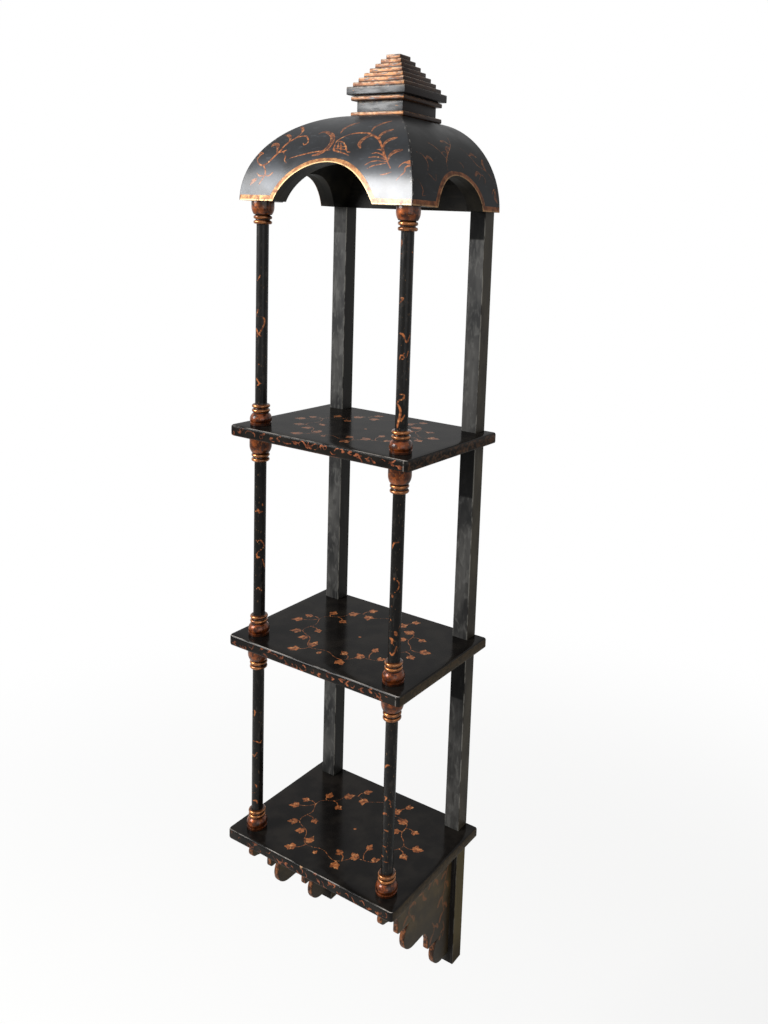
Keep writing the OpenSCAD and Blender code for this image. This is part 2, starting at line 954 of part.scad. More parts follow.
shelf_top();
shelf_middle();
shelf_bottom();
post_left();
post_right();
column_top_left();
column_top_right();
column_middle_left();
column_middle_right();
column_bottom_left();
column_bottom_right();
bracket_left();
bracket_right();
dome_front();
dome_left();
dome_right();
dome_back_board();
dome_crown_block();
finial_base();
finial_neck();
finial_fillet();
finial_slab();
finial_step_1();
finial_step_2();
finial_step_3();
finial_step_4();
finial_step_5();
finial_step_6();
finial_step_7();
finial_dowel();
shelf_dowels_long();
shelf_dowels_short();
crown_dowels();
mitre_dowels();
back_board_dowels();
shelf_screws();
bracket_screws();
hanger_plate_left();
hanger_plate_right();
hanger_screws();
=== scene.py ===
import random
from math import asin, atan2, cos, degrees, hypot, pi, radians, sin, sqrt
import bmesh
import bpy
import numpy as np
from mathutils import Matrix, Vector


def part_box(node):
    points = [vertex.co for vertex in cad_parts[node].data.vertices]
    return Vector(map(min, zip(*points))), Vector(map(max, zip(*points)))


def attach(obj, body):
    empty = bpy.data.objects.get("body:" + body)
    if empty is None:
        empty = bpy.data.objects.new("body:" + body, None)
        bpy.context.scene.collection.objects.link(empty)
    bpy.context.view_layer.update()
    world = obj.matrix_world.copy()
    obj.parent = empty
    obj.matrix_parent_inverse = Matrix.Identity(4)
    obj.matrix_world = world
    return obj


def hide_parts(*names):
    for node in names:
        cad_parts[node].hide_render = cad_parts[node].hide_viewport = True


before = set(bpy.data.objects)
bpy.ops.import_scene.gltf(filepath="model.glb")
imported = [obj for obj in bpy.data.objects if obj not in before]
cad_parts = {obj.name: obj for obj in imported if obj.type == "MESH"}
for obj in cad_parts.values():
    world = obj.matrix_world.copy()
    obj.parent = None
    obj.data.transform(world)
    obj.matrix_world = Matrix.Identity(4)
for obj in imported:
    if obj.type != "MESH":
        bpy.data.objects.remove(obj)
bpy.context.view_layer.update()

# Lengths are in millimetres until a piece is made, in the frame of the CAD.
MM = 0.001

RIM = 40.0
SHELF_TOPS = {"top": -277.7, "middle": -596.2, "bottom": -910.7}
SHELF_W, SHELF_D, SHELF_T = 316.0, 217.0, 16.0
SHELF_CORNER, SHELF_EASE = 7.0, 3.0
POST_X, POST_W, POST_D = 125.65, 25.9, 23.8
COLUMN_X, COLUMN_Y = 125.2, -187.8
DOME_D, DOME_HALF = 210.7, 146.8
DOME_R, DOME_IN_R, CROWN_H = 126.0, 100.0, 124.0
DOME_Y, DOME_X = DOME_R - DOME_D, DOME_HALF - DOME_R
CROWN_OFF = sqrt(DOME_R ** 2 - CROWN_H ** 2)
CROWN_X, CROWN_Y = DOME_X + CROWN_OFF, DOME_Y - CROWN_OFF
ARCH_HALF, ARCH_H = 85.0, 52.6
SIDE_ARCH_HALF, SIDE_ARCH_H, SIDE_ARCH_Y = 54.75, 44.0, -99.0
ARCH_BAND, RIM_BAND = 7.0, 7.5


# --- shader maths ---

def paint(code):
    """Colour in linear light from its six-figure code."""
    parts = [int(code[i:i + 2], 16) / 255 for i in (0, 2, 4)]
    return [c / 12.92 if c < 0.04045 else ((c + 0.055) / 1.055) ** 2.4
            for c in parts] + [1.0]


def maths(operation):
    """Method that adds a Math node of this kind."""
    return lambda level, *more: level.tree.sum(operation, level, *more)


class Level:
    """A number that varies over a surface: sums on it add Math nodes."""

    def __init__(self, tree, socket):
        self.tree, self.socket = tree, socket

    __add__ = __radd__ = maths("ADD")
    __mul__ = __rmul__ = maths("MULTIPLY")
    __sub__ = maths("SUBTRACT")
    __abs__ = maths("ABSOLUTE")
    root = maths("SQRT")
    at_least = maths("MAXIMUM")

    def __rsub__(self, other):
        return self.tree.sum("SUBTRACT", other, self)

    def rise(self, low, high):
        """0 below low, 1 above high, soft between; low may be the higher."""
        node = self.tree.node(
            "MapRange", {"Value": self, "From Min": low, "From Max": high},
            interpolation_type="SMOOTHSTEP")
        return Level(self.tree, node.outputs["Result"])


class NodeTree:
    """The nodes of a material or a world, emptied before use."""

    def __init__(self, owner):
        owner.use_nodes = True
        self.tree = owner.node_tree
        self.tree.nodes.clear()

    def node(self, kind, inputs=None, **settings):
        """Adds a node; its inputs are numbers, colours, sockets or levels."""
        made = self.tree.nodes.new("ShaderNode" + kind)
        for key, value in settings.items():
            setattr(made, key, value)
        for key, value in (inputs or {}).items():
            socket = made.inputs[key]
            if isinstance(value, Level):
                value = value.socket
            if isinstance(value, bpy.types.NodeSocket):
                self.tree.links.new(value, socket)
            else:
                socket.default_value = value
        return made

    def sum(self, operation, *parts):
        node = self.node("Math", dict(enumerate(parts)), operation=operation)
        return Level(self, node.outputs[0])

    def ray(self, kind):
        """1 for rays of a kind, such as those from the camera."""
        node = self.node("LightPath")
        return Level(self, node.outputs[f"Is {kind} Ray"])


class Finish(NodeTree):
    """One material and the nodes of its shader."""

    def __init__(self, name):
        self.material = bpy.data.materials.new(name)
        super().__init__(self.material)
        texture = self.node("TexCoord")
        millimetres = self.node(
            "VectorMath", {"Vector": texture.outputs["Object"],
                           "Scale": 1 / MM}, operation="SCALE")
        self.place = millimetres.outputs["Vector"]
        self.x, self.y, self.z = self.split(self.place)
        self.nx, self.ny, self.nz = self.split(texture.outputs["Normal"])

    def split(self, vector):
        node = self.node("SeparateXYZ", {"Vector": vector})
        return [Level(self, out) for out in node.outputs]

    def noise(self, size, detail=2, stretch=(1, 1, 1), bend=0.0, move=0.0):
        """Cloudy pattern from 0 to 1; size is its grain in millimetres."""
        laid = self.node("Mapping", {
            "Vector": self.place, "Location": (move, move, move),
            "Scale": [1 / (size * s) for s in stretch]})
        node = self.node("TexNoise", {
            "Vector": laid.outputs[0], "Scale": 1.0, "Detail": detail,
            "Distortion": bend})
        return Level(self, node.outputs["Fac"])

    def drawn(self, name):
        """Number painted on the points of a piece."""
        node = self.node("Attribute", attribute_type="GEOMETRY",
                         attribute_name=name)
        return Level(self, node.outputs["Fac"])

    def ragged(self, name, worn, share, low, high):
        """Drawn shape whose edge the wear moves in and out."""
        return (self.drawn(name) + (worn - 0.5) * share).rise(low, high)

    def mix(self, share, one, two):
        """Colour between two, given as sockets or as codes."""
        one, two = (paint(c) if isinstance(c, str) else c for c in (one, two))
        node = self.node("Mix", {0: share, 6: one, 7: two}, data_type="RGBA")
        return node.outputs[2]

    def layers(self, colour, *coats):
        """Lays coats over a colour; each is its share and its own colour."""
        for share, over in coats:
            colour = self.mix(share, colour, over)
        return colour

    def close(self, colour, roughness, metallic, bump, depth,
              specular=0.5, coat=0.0, coat_roughness=0.1):
        """Joins everything to the shader; depth is in millimetres."""
        relief = self.node("Bump", {
            "Height": bump, "Strength": 1.0, "Distance": depth * MM})
        shader = self.node("BsdfPrincipled", {
            "Base Color": colour, "Roughness": roughness,
            "Metallic": metallic, "Specular IOR Level": specular,
            "Coat Weight": coat, "Coat Roughness": coat_roughness,
            "Normal": relief.outputs["Normal"]})
        self.node("OutputMaterial", {"Surface": shader.outputs[0]})
        return self.material


# --- materials ---

def leaf_copper(f):
    """Duller copper of the painted leaves, darker where it is worn."""
    cloud = f.noise(5, 3, move=51).rise(0.34, 0.62)
    bright = f.noise(4.5, move=63).rise(0.57, 0.7)
    return f.layers("5a301b", (cloud, "aa6539"), (bright * 0.75, "dfa26c"))


def black_ground(f, dark, light):
    """Black paint that is a little lighter in clouds."""
    return f.mix(f.noise(28, 4).rise(0.35, 0.7), dark, light)


def shelf_finish():
    """Glossy black board with a copper wreath and a vine along its edge."""
    f = Finish("black_lacquer_shelf")
    top = f.nz.rise(0.9, 0.97)
    front, side = f.ny.rise(-0.3, -0.6), abs(f.nx).rise(0.7, 0.9)
    worn = f.noise(4, 3, move=9)
    wreath = f.ragged("wreath", worn, 0.9, 0.45, -0.2)
    wreath = wreath * worn.rise(0.2, 0.32) * top
    faint = f.z.rise(-600, -270) * 0.3
    vine = f.ragged("edge_vine", worn, 1.0, 0.35, -0.3) * front
    vine = vine * f.noise(11, move=25).rise(0.3, 0.46)
    vine = vine * (0.5 + 0.5 * f.x.rise(-125, 0))
    red = f.mix(f.noise(6, 3, move=67).rise(0.35, 0.65), "4f281a", "a15f3f")
    cloudy = f.noise(9, 4, (1, 1, 0.6), 0.8).rise(0.4, 0.7)
    speck = f.noise(3, 3, move=15).rise(0.6, 0.72) * side
    olive = side * f.z.rise(-400, -560) * (0.5 + 0.3 * cloudy)
    low_edge = f.nz.rise(-0.45, -0.75) * front
    scuff = low_edge * f.noise(7, 2, (3, 1, 1)).rise(0.4, 0.6)
    fall = f.noise(9, 3, (4, 4, 1), move=77).rise(0.4, 0.6)
    # Pale line along the rounded top edges, brightest towards the near corner:
    # painted highlight.
    ridge_highlight = f.nz.rise(0.64, 0.71) * f.nz.rise(0.87, 0.8)
    corner = fall.at_least(f.x.rise(118, 146))
    # Pale line down the rounded near corner of the upper two shelves: painted
    # highlight.
    end = f.x.rise(150, 151) * f.x.rise(152.5, 151.5) * front
    end = end * f.z.rise(-700, -600) * f.noise(4, 3, move=87).rise(0.35, 0.5)
    chip = f.drawn("chip") * f.noise(1.5).rise(0.3, 0.5)
    colour = f.layers(
        black_ground(f, "110f0e", "1f1c19"),
        (cloudy * side * 0.8, "4a3526"), (speck * 0.45, "6f4c34"),
        (olive, "3c3425"), (scuff * 0.7, "7d4a2c"),
        (wreath * (0.95 - faint), leaf_copper(f)), (vine * 0.85, red),
        (ridge_highlight * front * corner * 0.85, "bdb6ae"),
        (ridge_highlight * side * fall * 0.6, "7a5a42"), (end * 0.35, "a39c94"),
        (chip, "b08a68"))
    marks = wreath.at_least(vine * 0.7)
    return f.close(colour, 0.5 - marks * 0.1, marks * 0.25,
                   marks * 0.5 + f.noise(2.0) * 0.1, 0.12,
                   specular=0.0, coat=0.22, coat_roughness=0.17)


# What differs between the dome's front board, whose curve runs along x, and
# its side boards, along y: the side boards carry darker, duller paint as
# painted shade, with less painted sheen and lip highlight
DOME_LOOKS = {
    "x": {"ground": ("0d0e11", "191c20"), "fade_and_sheen": 0.8, "dust": 0.28,
          "mark": 0.9, "trim": ("8c562f", "dba366"), "scuff": "5c3320",
          "lip": 0.85, "specular": 0.22},
    "y": {"ground": ("0b0b0b", "171717"), "fade_and_sheen": 0.08, "dust": 0.1,
          "mark": 0.5, "trim": ("4f3122", "7a4d33"), "scuff": "3a2419",
          "lip": 0.15, "specular": 0.06}}


def dome_finish(name, axis):
    """Slate black curved board with drawn scrolls and copper rims."""
    f = Finish(name)
    look = DOME_LOOKS[axis]
    front = axis == "x"
    across = f.y - DOME_Y if front else abs(f.x) - DOME_X
    height = f.z - RIM
    radius = (across * across + height * height).root()
    outside = radius.rise(DOME_R - 0.7, DOME_R - 0.3)
    cloud = f.noise(34, 5).rise(0.3, 0.75)
    # Lighter grey-blue low on the board, mostly on the front: faded paint and
    # painted sheen.
    fade_and_sheen = height.rise(75, 5) * f.noise(40, 4, move=7).rise(0.25, 0.6)
    dust = f.noise(4, 4, (3, 3, 1), move=3).rise(0.58, 0.8)
    ground = f.layers(f.mix(cloud, *look["ground"]),
                      (fade_and_sheen * look["fade_and_sheen"], "60656d"),
                      (dust * look["dust"], "6a6e74"))
    line = f.ragged("line", f.noise(4, 3, move=9), 0.9, 0.15, -0.45)
    line = line * f.noise(9, move=12).rise(0.24, 0.4)
    hatch = f.noise(1.8, 1, (1, 1, 3), 0.5, move=20).rise(0.48, 0.6)
    wash = f.drawn("wash").rise(0.3, -0.4) * (0.35 + 0.45 * hatch)
    mark = line.at_least(wash) * look["mark"]
    rim = f.drawn("band")
    band = rim.rise(0.3, -0.3) * f.noise(3.2, 3, move=50).rise(0.18, 0.28)
    patch = f.noise(9, 4, bend=0.5, move=61)
    trim = f.mix(patch.rise(0.35, 0.65), *look["trim"])
    if front:
        trim = f.mix(height.rise(8, 44) * 0.45, trim, "7d4a2c")
    cross = abs(f.noise(4, 1, bend=1.0, move=70) - 0.5).rise(0.05, 0.02)
    # Pale lip along the band's lower and arch edges: painted highlight, strong
    # on the front board.
    lip = (rim + ARCH_BAND).rise(1.9, 1.0) * patch.rise(0.3, 0.42)
    trim = f.layers(trim, (cross * 0.6, look["scuff"]),
                    (lip * look["lip"], "f5d29a"))
    hip = abs(abs(f.x) + f.y - (DOME_HALF - DOME_D)) * 0.7071
    chips = hip.rise(2.4, 1.2) * f.noise(5, 3, move=81).rise(0.56, 0.64)
    joint = hip.rise(1.3, 0.5)
    inner = f.mix(f.noise(35, 3).rise(0.35, 0.7), "100f0d", "221f19")
    colour = f.layers(ground, (mark, leaf_copper(f)), (band, trim),
                      (chips * 0.6, "a9a39b"), (joint * 0.9, "08080a"))
    colour = f.mix(outside, inner, colour)
    painted = mark.at_least(band)
    rough = 0.36 + 0.1 * painted + 0.1 * cloud
    relief = painted * 0.5 + f.noise(2.5, 3) * 0.12 - joint
    rubbed = 0.3 + 0.7 * f.x.rise(-80, 90) if front else 0.06
    dull_band = band * (0.75 - 0.6 * f.x.rise(60, 110)) if front else band
    polish = height.rise(75, 12) * rubbed * (1 - dull_band)
    return f.close(colour, rough, painted * 0.2 * outside, relief, 0.15,
                   specular=look["specular"], coat=polish * outside,
                   coat_roughness=0.24)


def column_finish():
    """Black shaft with painted sprigs, copper bulbs, rings and bells."""
    f = Finish("copper_black_column")
    vine = f.ragged("vine", f.noise(3, move=5), 0.9, 0.45, -0.25)
    vine = vine * f.noise(8, move=14).rise(0.24, 0.36)
    dusty = f.noise(5, 4, (1, 1, 3), move=24).rise(0.54, 0.7)
    bare = f.noise(2.2, 2, (1, 1, 2), move=44).rise(0.66, 0.74)
    cloud = f.noise(8, 2.5, move=6)
    ring = f.drawn("ring")
    bulb = f.mix(cloud.rise(0.35, 0.62), "3b1808", "854017")
    rings = f.mix(cloud.rise(0.3, 0.6), "5a3016", "a86a3a")
    fleck = f.noise(2.6, move=22).rise(0.6, 0.72)
    antique = f.noise(8, 2.5, move=33)
    # Painted shade in the grooves and at the shelves, together with random
    # dark antique patches.
    dark = f.drawn("crease_shade").at_least(
        antique.rise(0.52, 0.64) * (0.8 - 0.4 * ring))
    # The metal is darker on its +x side: painted shade.
    metal = f.layers(bulb, (ring, rings), (fleck * 0.4, "c98a54"),
                     (dark, "1e100b"), (f.nx.rise(0.15, 0.9) * 0.45, "1a0f0a"))
    cover = f.drawn("gilt").rise(0.3, 0.6)
    colour = f.layers(black_ground(f, "0a0908", "141210"),
                      (dusty * 0.4, "3a3632"), (bare * 0.6, "6b5238"),
                      (vine * 0.95, leaf_copper(f)), (cover, metal))
    rough = 0.36 + 0.12 * dark - 0.12 * ring * cover
    share = cover * (0.6 + 0.25 * ring) * (1 - dark * 0.8)
    return f.close(colour, rough, share,
                   vine * 0.5 + antique * 0.3, 0.2, specular=0.08,
                   coat=0.15 + 0.25 * cover, coat_roughness=0.06)


def finial_finish(name, cover_share, side_dark):
    """Mottled copper over black; cover_share is how much copper is left."""
    f = Finish(name)
    cloud = f.noise(11, 4, (1.6, 1.6, 0.6), move=2).rise(0.34, 0.66)
    fleck = f.noise(2.6, 2, (1.5, 1.5, 0.7), move=11).rise(0.6, 0.72)
    metal = f.layers("6b4029", (cloud, "b37c50"), (fleck * 0.5, "dcae8c"))
    streak = f.noise(5, 4, (2.4, 2.4, 0.35), move=41)
    cover = streak.rise(0.68 - 0.4 * cover_share, 0.76 - 0.4 * cover_share)
    low = f.drawn("low")
    # Copper darkens towards the bottom of each block: painted shade.
    lower_shade = low.rise(0.5, 0.95) * cover * 0.85
    rubbed = low.rise(0.3, 0.02) * f.noise(7, 3, move=83).rise(0.36, 0.6)
    shaded = f.nx.rise(0.5, 0.8) * side_dark
    colour = f.layers(
        "161617", (f.noise(18, 4, move=8).rise(0.35, 0.7), "2c2d30"),
        (cover, metal), (lower_shade, "20120c"),
        (rubbed * (0.2 + 0.35 * cover), "c9b29a"), (shaded, "130c0b"))
    wiped = f.noise(9, 3, (2.5, 2.5, 0.5), 0.5, move=91).rise(0.25, 0.6)
    sheen = (1 - cover) * f.ny.rise(-0.5, -0.9) * (0.12 + 0.3 * wiped)
    return f.close(colour, 0.42 - 0.06 * cover, cover * 0.15 * (1 - shaded),
                   streak * 0.4 + cover * 0.2, 0.15, specular=0.12,
                   coat=sheen, coat_roughness=0.22)


# Shade painted on the posts' fronts: where it starts and where it ends
POST_SHADE = [(RIM, 1), (-293.7, -376), (-612.2, -694)]


def post_finish():
    """Dusty grey-black post, streaked along its length, with painted light and
    shade on its fronts and sides.
    """
    f = Finish("post_black_dusty")
    streak = f.noise(6, 4, (1, 1, 16))
    patch = f.noise(34, 5, (1, 1, 2.2), move=8)
    front = f.ny.rise(-0.6, -0.85)
    # Where the left post's side faces the right post it is darker: painted
    # shade between the posts.
    between = f.nx.rise(0.6, 0.9) * f.x.rise(10, -10)
    # Below the bottom shelf the fronts are near black, painted shadow, and the
    # sides a lighter olive, painted light.
    below, foot = f.z.rise(-922, -934), f.z.rise(-1085, -1135)
    dull = f.layers("1f1b15", (patch.rise(0.3, 0.7), "39342a"),
                    (between * 0.9, "0d0d0c"), (below * 0.7, "51472f"),
                    (foot * 0.7, "1d160e"))
    blotch = f.noise(7, 3, (1, 1, 2.5), 0.6, move=52).rise(0.5, 0.68)
    # The fronts are paler than the sides: dust, and painted light on the lit
    # fronts beside painted shade on the sides.
    pale = f.layers("1b1b1b", (patch.rise(0.34, 0.66), "403f3d"),
                    (blotch * 0.45, "5a5956"), (below * 0.92, "0f0a07"))
    dry = streak.rise(0.52, 0.75) * 0.35 * (0.3 + 0.7 * front)
    smear = f.noise(11, 4, (1, 1, 3), 0.8, move=29).rise(0.6, 0.7) * front
    shade = sum(f.z.rise(end - 1.5, end + 1.5) * f.z.rise(start + 1, start)
                for start, end in POST_SHADE)
    shade = shade * front * (0.4 + 0.5 * f.x.rise(-10, 10))
    edge = abs(abs(f.x) - POST_X).rise(POST_W / 2 - 1.6, POST_W / 2 - 0.5)
    edge = edge * f.y.rise(-POST_D + 1.6, -POST_D + 0.5)
    chip = f.noise(4, 3, (1, 1, 5), move=19).rise(0.42, 0.55)
    colour = f.layers(
        dull, (front, pale), (dry, "565553"),
        (streak.rise(0.45, 0.25) * 0.55, "1a1a19"), (smear * 0.6, "1b1b1a"),
        (shade, "0b0b0b"), (edge * chip * (0.55 - 0.35 * below), "85827b"))
    rough = 0.45 + 0.12 * streak + 0.4 * shade.at_least(below)
    return f.close(colour, rough, 0.0,
                   streak * 0.35 + f.noise(1.5) * 0.12, 0.12,
                   specular=0.15)


def bracket_finish():
    """Olive black scalloped board with faint sprigs and copper edges."""
    f = Finish("post_black_bracket")
    flat = abs(f.nx).rise(0.75, 0.9)
    patch = f.noise(26, 5, move=4)
    rub = f.noise(5, 4, (1, 1, 2.5), move=37).rise(0.58, 0.75)
    worn = f.noise(5, 3, move=17)
    vine = f.ragged("vine", worn, 1.8, 0.8, -0.5)
    vine = vine * worn.rise(0.3, 0.5) * flat
    face = f.layers("2a2213", (patch.rise(0.3, 0.7), "423620"),
                    (rub * 0.3, "5c5038"),
                    (f.z.rise(-990, -1060) * 0.7, "171109"),
                    (vine * 0.5, "7f4d2b"))
    edge = f.layers("3b2416", (f.noise(7, 3).rise(0.4, 0.62), "7d4d2f"),
                    (f.noise(4, 3, move=5).rise(0.48, 0.62) * 0.85,
                     "1c120d"))
    return f.close(f.mix(flat, edge, face), 0.42 + 0.1 * patch, 0.1 * vine,
                   patch * 0.4 + vine * 0.3, 0.12, specular=0.15)


def inner_finish():
    """Thin black paint on the boards that are seldom seen."""
    f = Finish("post_black_inside")
    streaks = f.noise(6, 4, (8, 8, 1))
    colour = f.layers(
        "0f0e0d", (f.noise(35, 3, move=3).rise(0.35, 0.7), "201d18"),
        (streaks.rise(0.5, 0.75) * 0.4, "332f28"))
    return f.close(colour, 0.5, 0.0, streaks, 0.15, specular=0.1)


def beech_finish():
    """Bare wood with fine dark flecks."""
    f = Finish("beech_dowel")
    grain = f.noise(1.2, 4, (1, 1, 20))
    fleck = f.noise(0.8, 2, (1, 1, 5), move=6).rise(0.62, 0.7)
    colour = f.layers("b58f60", (grain.rise(0.3, 0.7), "d2b084"),
                      (fleck * 0.5, "8c663e"))
    return f.close(colour, 0.6, 0.0, grain, 0.05)


def steel_finish():
    """Brushed steel with dull spots."""
    f = Finish("brushed_steel")
    brushed = f.noise(0.8, 3, (12, 1, 1))
    spots = f.noise(3, 4, move=6).rise(0.55, 0.75)
    colour = f.layers("8d9094", (brushed, "b4b8bc"), (spots * 0.4, "6c6256"))
    return f.close(colour, 0.32 + 0.2 * brushed, 0.9 - 0.3 * spots,
                   brushed, 0.03)


# --- modelling ---

def deselect():
    """Leaves nothing selected."""
    bpy.ops.object.select_all(action="DESELECT")


def alone(piece):
    """Selects this piece only and makes it active."""
    deselect()
    piece.select_set(True)
    bpy.context.view_layer.objects.active = piece


def settle(name):
    """Names the active piece and puts its place into its mesh."""
    bpy.ops.object.transform_apply(location=True, rotation=True, scale=True)
    piece = bpy.context.active_object
    piece.name = piece.data.name = name
    return piece


def block(name, low, high):
    """Block between its lowest and its highest corner."""
    low, high = Vector(low) * MM, Vector(high) * MM
    deselect()
    bpy.ops.mesh.primitive_cube_add(
        size=1, location=(low + high) / 2, scale=high - low)
    return settle(name)


def rod(name, centre, radius, length, axis, sides):
    """Cylinder whose middle is at centre, along the x or the y axis."""
    turn = (0, pi / 2, 0) if axis == "x" else (pi / 2, 0, 0)
    deselect()
    bpy.ops.mesh.primitive_cylinder_add(
        vertices=sides, radius=radius * MM, depth=length * MM,
        location=Vector(centre) * MM, rotation=turn)
    return settle(name)


def select(how, kind=None):
    """Selects all or nothing, by VERT, EDGE or FACE."""
    if kind:
        bpy.ops.mesh.select_mode(type=kind)
    bpy.ops.mesh.select_all(action=how)


def edit(piece, kind="FACE", how="DESELECT"):
    """Opens the piece in edit mode."""
    alone(piece)
    bpy.ops.object.mode_set(mode="EDIT")
    select(how, kind)


def leave():
    """Closes edit mode."""
    bpy.ops.object.mode_set(mode="OBJECT")


def pick(piece, kind, test):
    """Selects only the edges or the faces that pass the test."""
    select("DESELECT", kind)
    mesh = bmesh.from_edit_mesh(piece.data)
    for part in mesh.edges if kind == "EDGE" else mesh.faces:
        if test(part):
            part.select_set(True)
    mesh.select_flush_mode()
    bmesh.update_edit_mesh(piece.data)


def middle(edge):
    """Middle of an edge in millimetres."""
    return (edge.verts[0].co + edge.verts[1].co) / 2 / MM


def run(edge):
    """Direction of an edge."""
    return (edge.verts[1].co - edge.verts[0].co).normalized()


def score(point, normal, **more):
    """Cuts a line round the piece."""
    select("SELECT")
    bpy.ops.mesh.bisect(plane_co=Vector(point) * MM, plane_no=normal, **more)


def slice_off(point, normal):
    """Cuts away what lies beyond the plane, on the side of its normal."""
    score(point, normal, use_fill=True, clear_outer=True)


def score_along(axis, places):
    """Cuts a line round the piece at each of the places on an axis."""
    direction = Vector([float(axis == name) for name in "xyz"])
    for at in places:
        score(direction * at, direction)


def pull_out(x, z):
    """Extrudes what is selected."""
    bpy.ops.mesh.extrude_region_move(
        TRANSFORM_OT_translate={"value": (x * MM, 0, z * MM)})


def face_outward():
    """Turns all normals of the open piece outward."""
    select("SELECT")
    bpy.ops.mesh.normals_make_consistent(inside=False)


def cut_away(piece, *cutters):
    """Takes the cutters' shapes out of the piece."""
    for cutter in cutters:
        alone(piece)
        tool = piece.modifiers.new("cut", "BOOLEAN")
        tool.operation, tool.solver, tool.object = (
            "DIFFERENCE", "EXACT", cutter)
        bpy.ops.object.modifier_apply(modifier=tool.name)
        bpy.data.objects.remove(cutter)


def smooth(piece, angle=32):
    """Smooth shading, except over edges sharper than the angle."""
    alone(piece)
    bpy.ops.object.shade_smooth_by_angle(angle=radians(angle))


def twin(piece, name):
    """Copy of a piece with a mesh of its own."""
    copy = piece.copy()
    copy.data = piece.data.copy()
    copy.name = copy.data.name = name
    bpy.context.collection.objects.link(copy)
    return copy


def shift(piece, move):
    """Moves the piece's mesh; the object stays at the origin."""
    alone(piece)
    piece.location = Vector(move) * MM
    bpy.ops.object.transform_apply(location=True, rotation=False, scale=False)


def coat(piece, material):
    """Gives the piece this material only."""
    piece.data.materials.clear()
    piece.data.materials.append(material)


def finish_piece(piece, material, slot, *nodes):
    """Paints the piece, hangs it on the root body and hides the CAD parts that
    it stands for.
    """
    coat(piece, material)
    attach(piece, "root")
    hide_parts(*nodes)


# --- brush strokes ---

# Furthest distance that a drawn field tells apart
FAR = 6.0


def curve(points, step=1.0):
    """Smooth line through the points; each is (x, y, half width)."""
    p = np.array(points, float)
    p = np.vstack([2 * p[0] - p[1], p, 2 * p[-1] - p[-2]])
    out = []
    for a, b, c, d in zip(p, p[1:], p[2:], p[3:]):
        count = max(2, int(np.hypot(*(c - b)[:2]) / step) + 1)
        t = np.linspace(0, 1, count, endpoint=False)[:, None]
        out.append(0.5 * (2 * b + (c - a) * t
                          + (2 * a - 5 * b + 4 * c - d) * t ** 2
                          + (3 * b - a - 3 * c + d) * t ** 3))
    return np.vstack(out + [p[-2]])


def brush(spots, line):
    """Distance of each spot to the edge of a stroke, negative within it."""
    best = np.full(len(spots), FAR)
    for a, b in zip(line, line[1:]):
        low = np.minimum(a, b)[:2] - FAR
        high = np.maximum(a, b)[:2] + FAR
        near = np.flatnonzero(((spots > low) & (spots < high)).all(1))
        part, along = spots[near] - a[:2], b[:2] - a[:2]
        t = np.clip(part @ along / max(along @ along, 1e-9), 0, 1)
        gap = np.hypot(*(part - t[:, None] * along).T)
        gap -= a[2] + t * (b[2] - a[2])
        best[near] = np.minimum(best[near], gap)
    return best


def nearest(shapes):
    """Distance to the nearest of several shapes."""
    return np.minimum.reduce(list(shapes))


def swept(spots, points, width_at):
    """Brush along the points; width_at gives the half width at each."""
    return brush(spots, curve([(*p, width_at(i))
                               for i, p in enumerate(points)]))


def stroke(spots, points, width, taper=0.35):
    """Line of a brush that is thinner at its ends."""
    last = len(points) - 1
    return swept(spots, points, lambda i: width * (taper + (1 - taper) * sin(
        pi * min(max(i / last, 0.12), 0.88))))


def leaf(spots, points, fat):
    """Pointed leaf along a line, widest in its middle."""
    return swept(spots, points, lambda i: 0.2 + fat * sin(
        pi * (i + 0.35) / (len(points) + 0.2)) ** 1.3)


def from_table(spots, table, tool, *more):
    """Shape of each row of a table: half width, then x and y in turn."""
    return [tool(spots, list(zip(row[1::2], row[2::2])), row[0], *more)
            for row in table]


def ivy(spots, x, y, turn, size, skew=0.0):
    """Ivy leaf: a long middle lobe, two side lobes and two short ones."""
    lobes = []
    for bearing, reach, fat in ((0, 1.15, 0.3), (58 + skew, 0.85, 0.26),
                                (skew - 58, 0.75, 0.26),
                                (118 + skew, 0.55, 0.2),
                                (skew - 118, 0.5, 0.2)):
        a = radians(turn + bearing)
        tip_x = cos(a) * size * reach
        tip_y = sin(a) * size * reach
        lobes.append(brush(spots, np.array([
            (x, y, size * 0.36),
            (x + tip_x * 0.55, y + tip_y * 0.55, size * fat),
            (x + tip_x, y + tip_y, 0.1)])))
    return nearest(lobes)


def points_of(piece):
    """All points of a piece in millimetres."""
    place = np.empty(len(piece.data.vertices) * 3)
    piece.data.vertices.foreach_get("co", place)
    return place.reshape(-1, 3) / MM


def draw(piece, name, values):
    """Keeps a number for each point of the piece."""
    kept = piece.data.attributes.new(name, "FLOAT", "POINT")
    values = np.clip(np.asarray(values, float), -FAR, FAR)
    kept.data.foreach_set("value", values.astype(np.float32))


def draw_part(piece, name, part, values):
    """Keeps a drawn shape on a part of the points, and nothing elsewhere."""
    field = np.full(len(part), FAR)
    field[part] = values
    draw(piece, name, field)


# --- shelves ---

WREATH_LEAVES = [
    (-82, -71), (-56.9, -55.3), (-38.9, -28.5), (-105.2, -97.5),
    (-110.8, -115.7), (-29.8, -47.1), (-53.4, -83.9), (40.6, -21.8),
    (31.2, -42.4), (-85.1, -146.8), (-61.6, -129.2), (-61.3, -157.5),
    (57.7, -53.8), (61.5, -78.3), (83.8, -65.5), (-35.2, -169.5),
    (-47.2, -192.4), (20.7, -163.4), (49.4, -132.1), (45.7, -158.5),
    (28.8, -186.9), (71.8, -148.5), (101.1, -116.6), (108.3, -95.1)]
WREATH_MIDDLE_Y, WREATH_HALF_X, WREATH_HALF_Y = -108.0, 84, 70
WAVES, WAVE_HEIGHT = 9, 5.5
LONE_LEAF, LONE_DOT = (-11.7, -184.5), (3.2, -109.8)


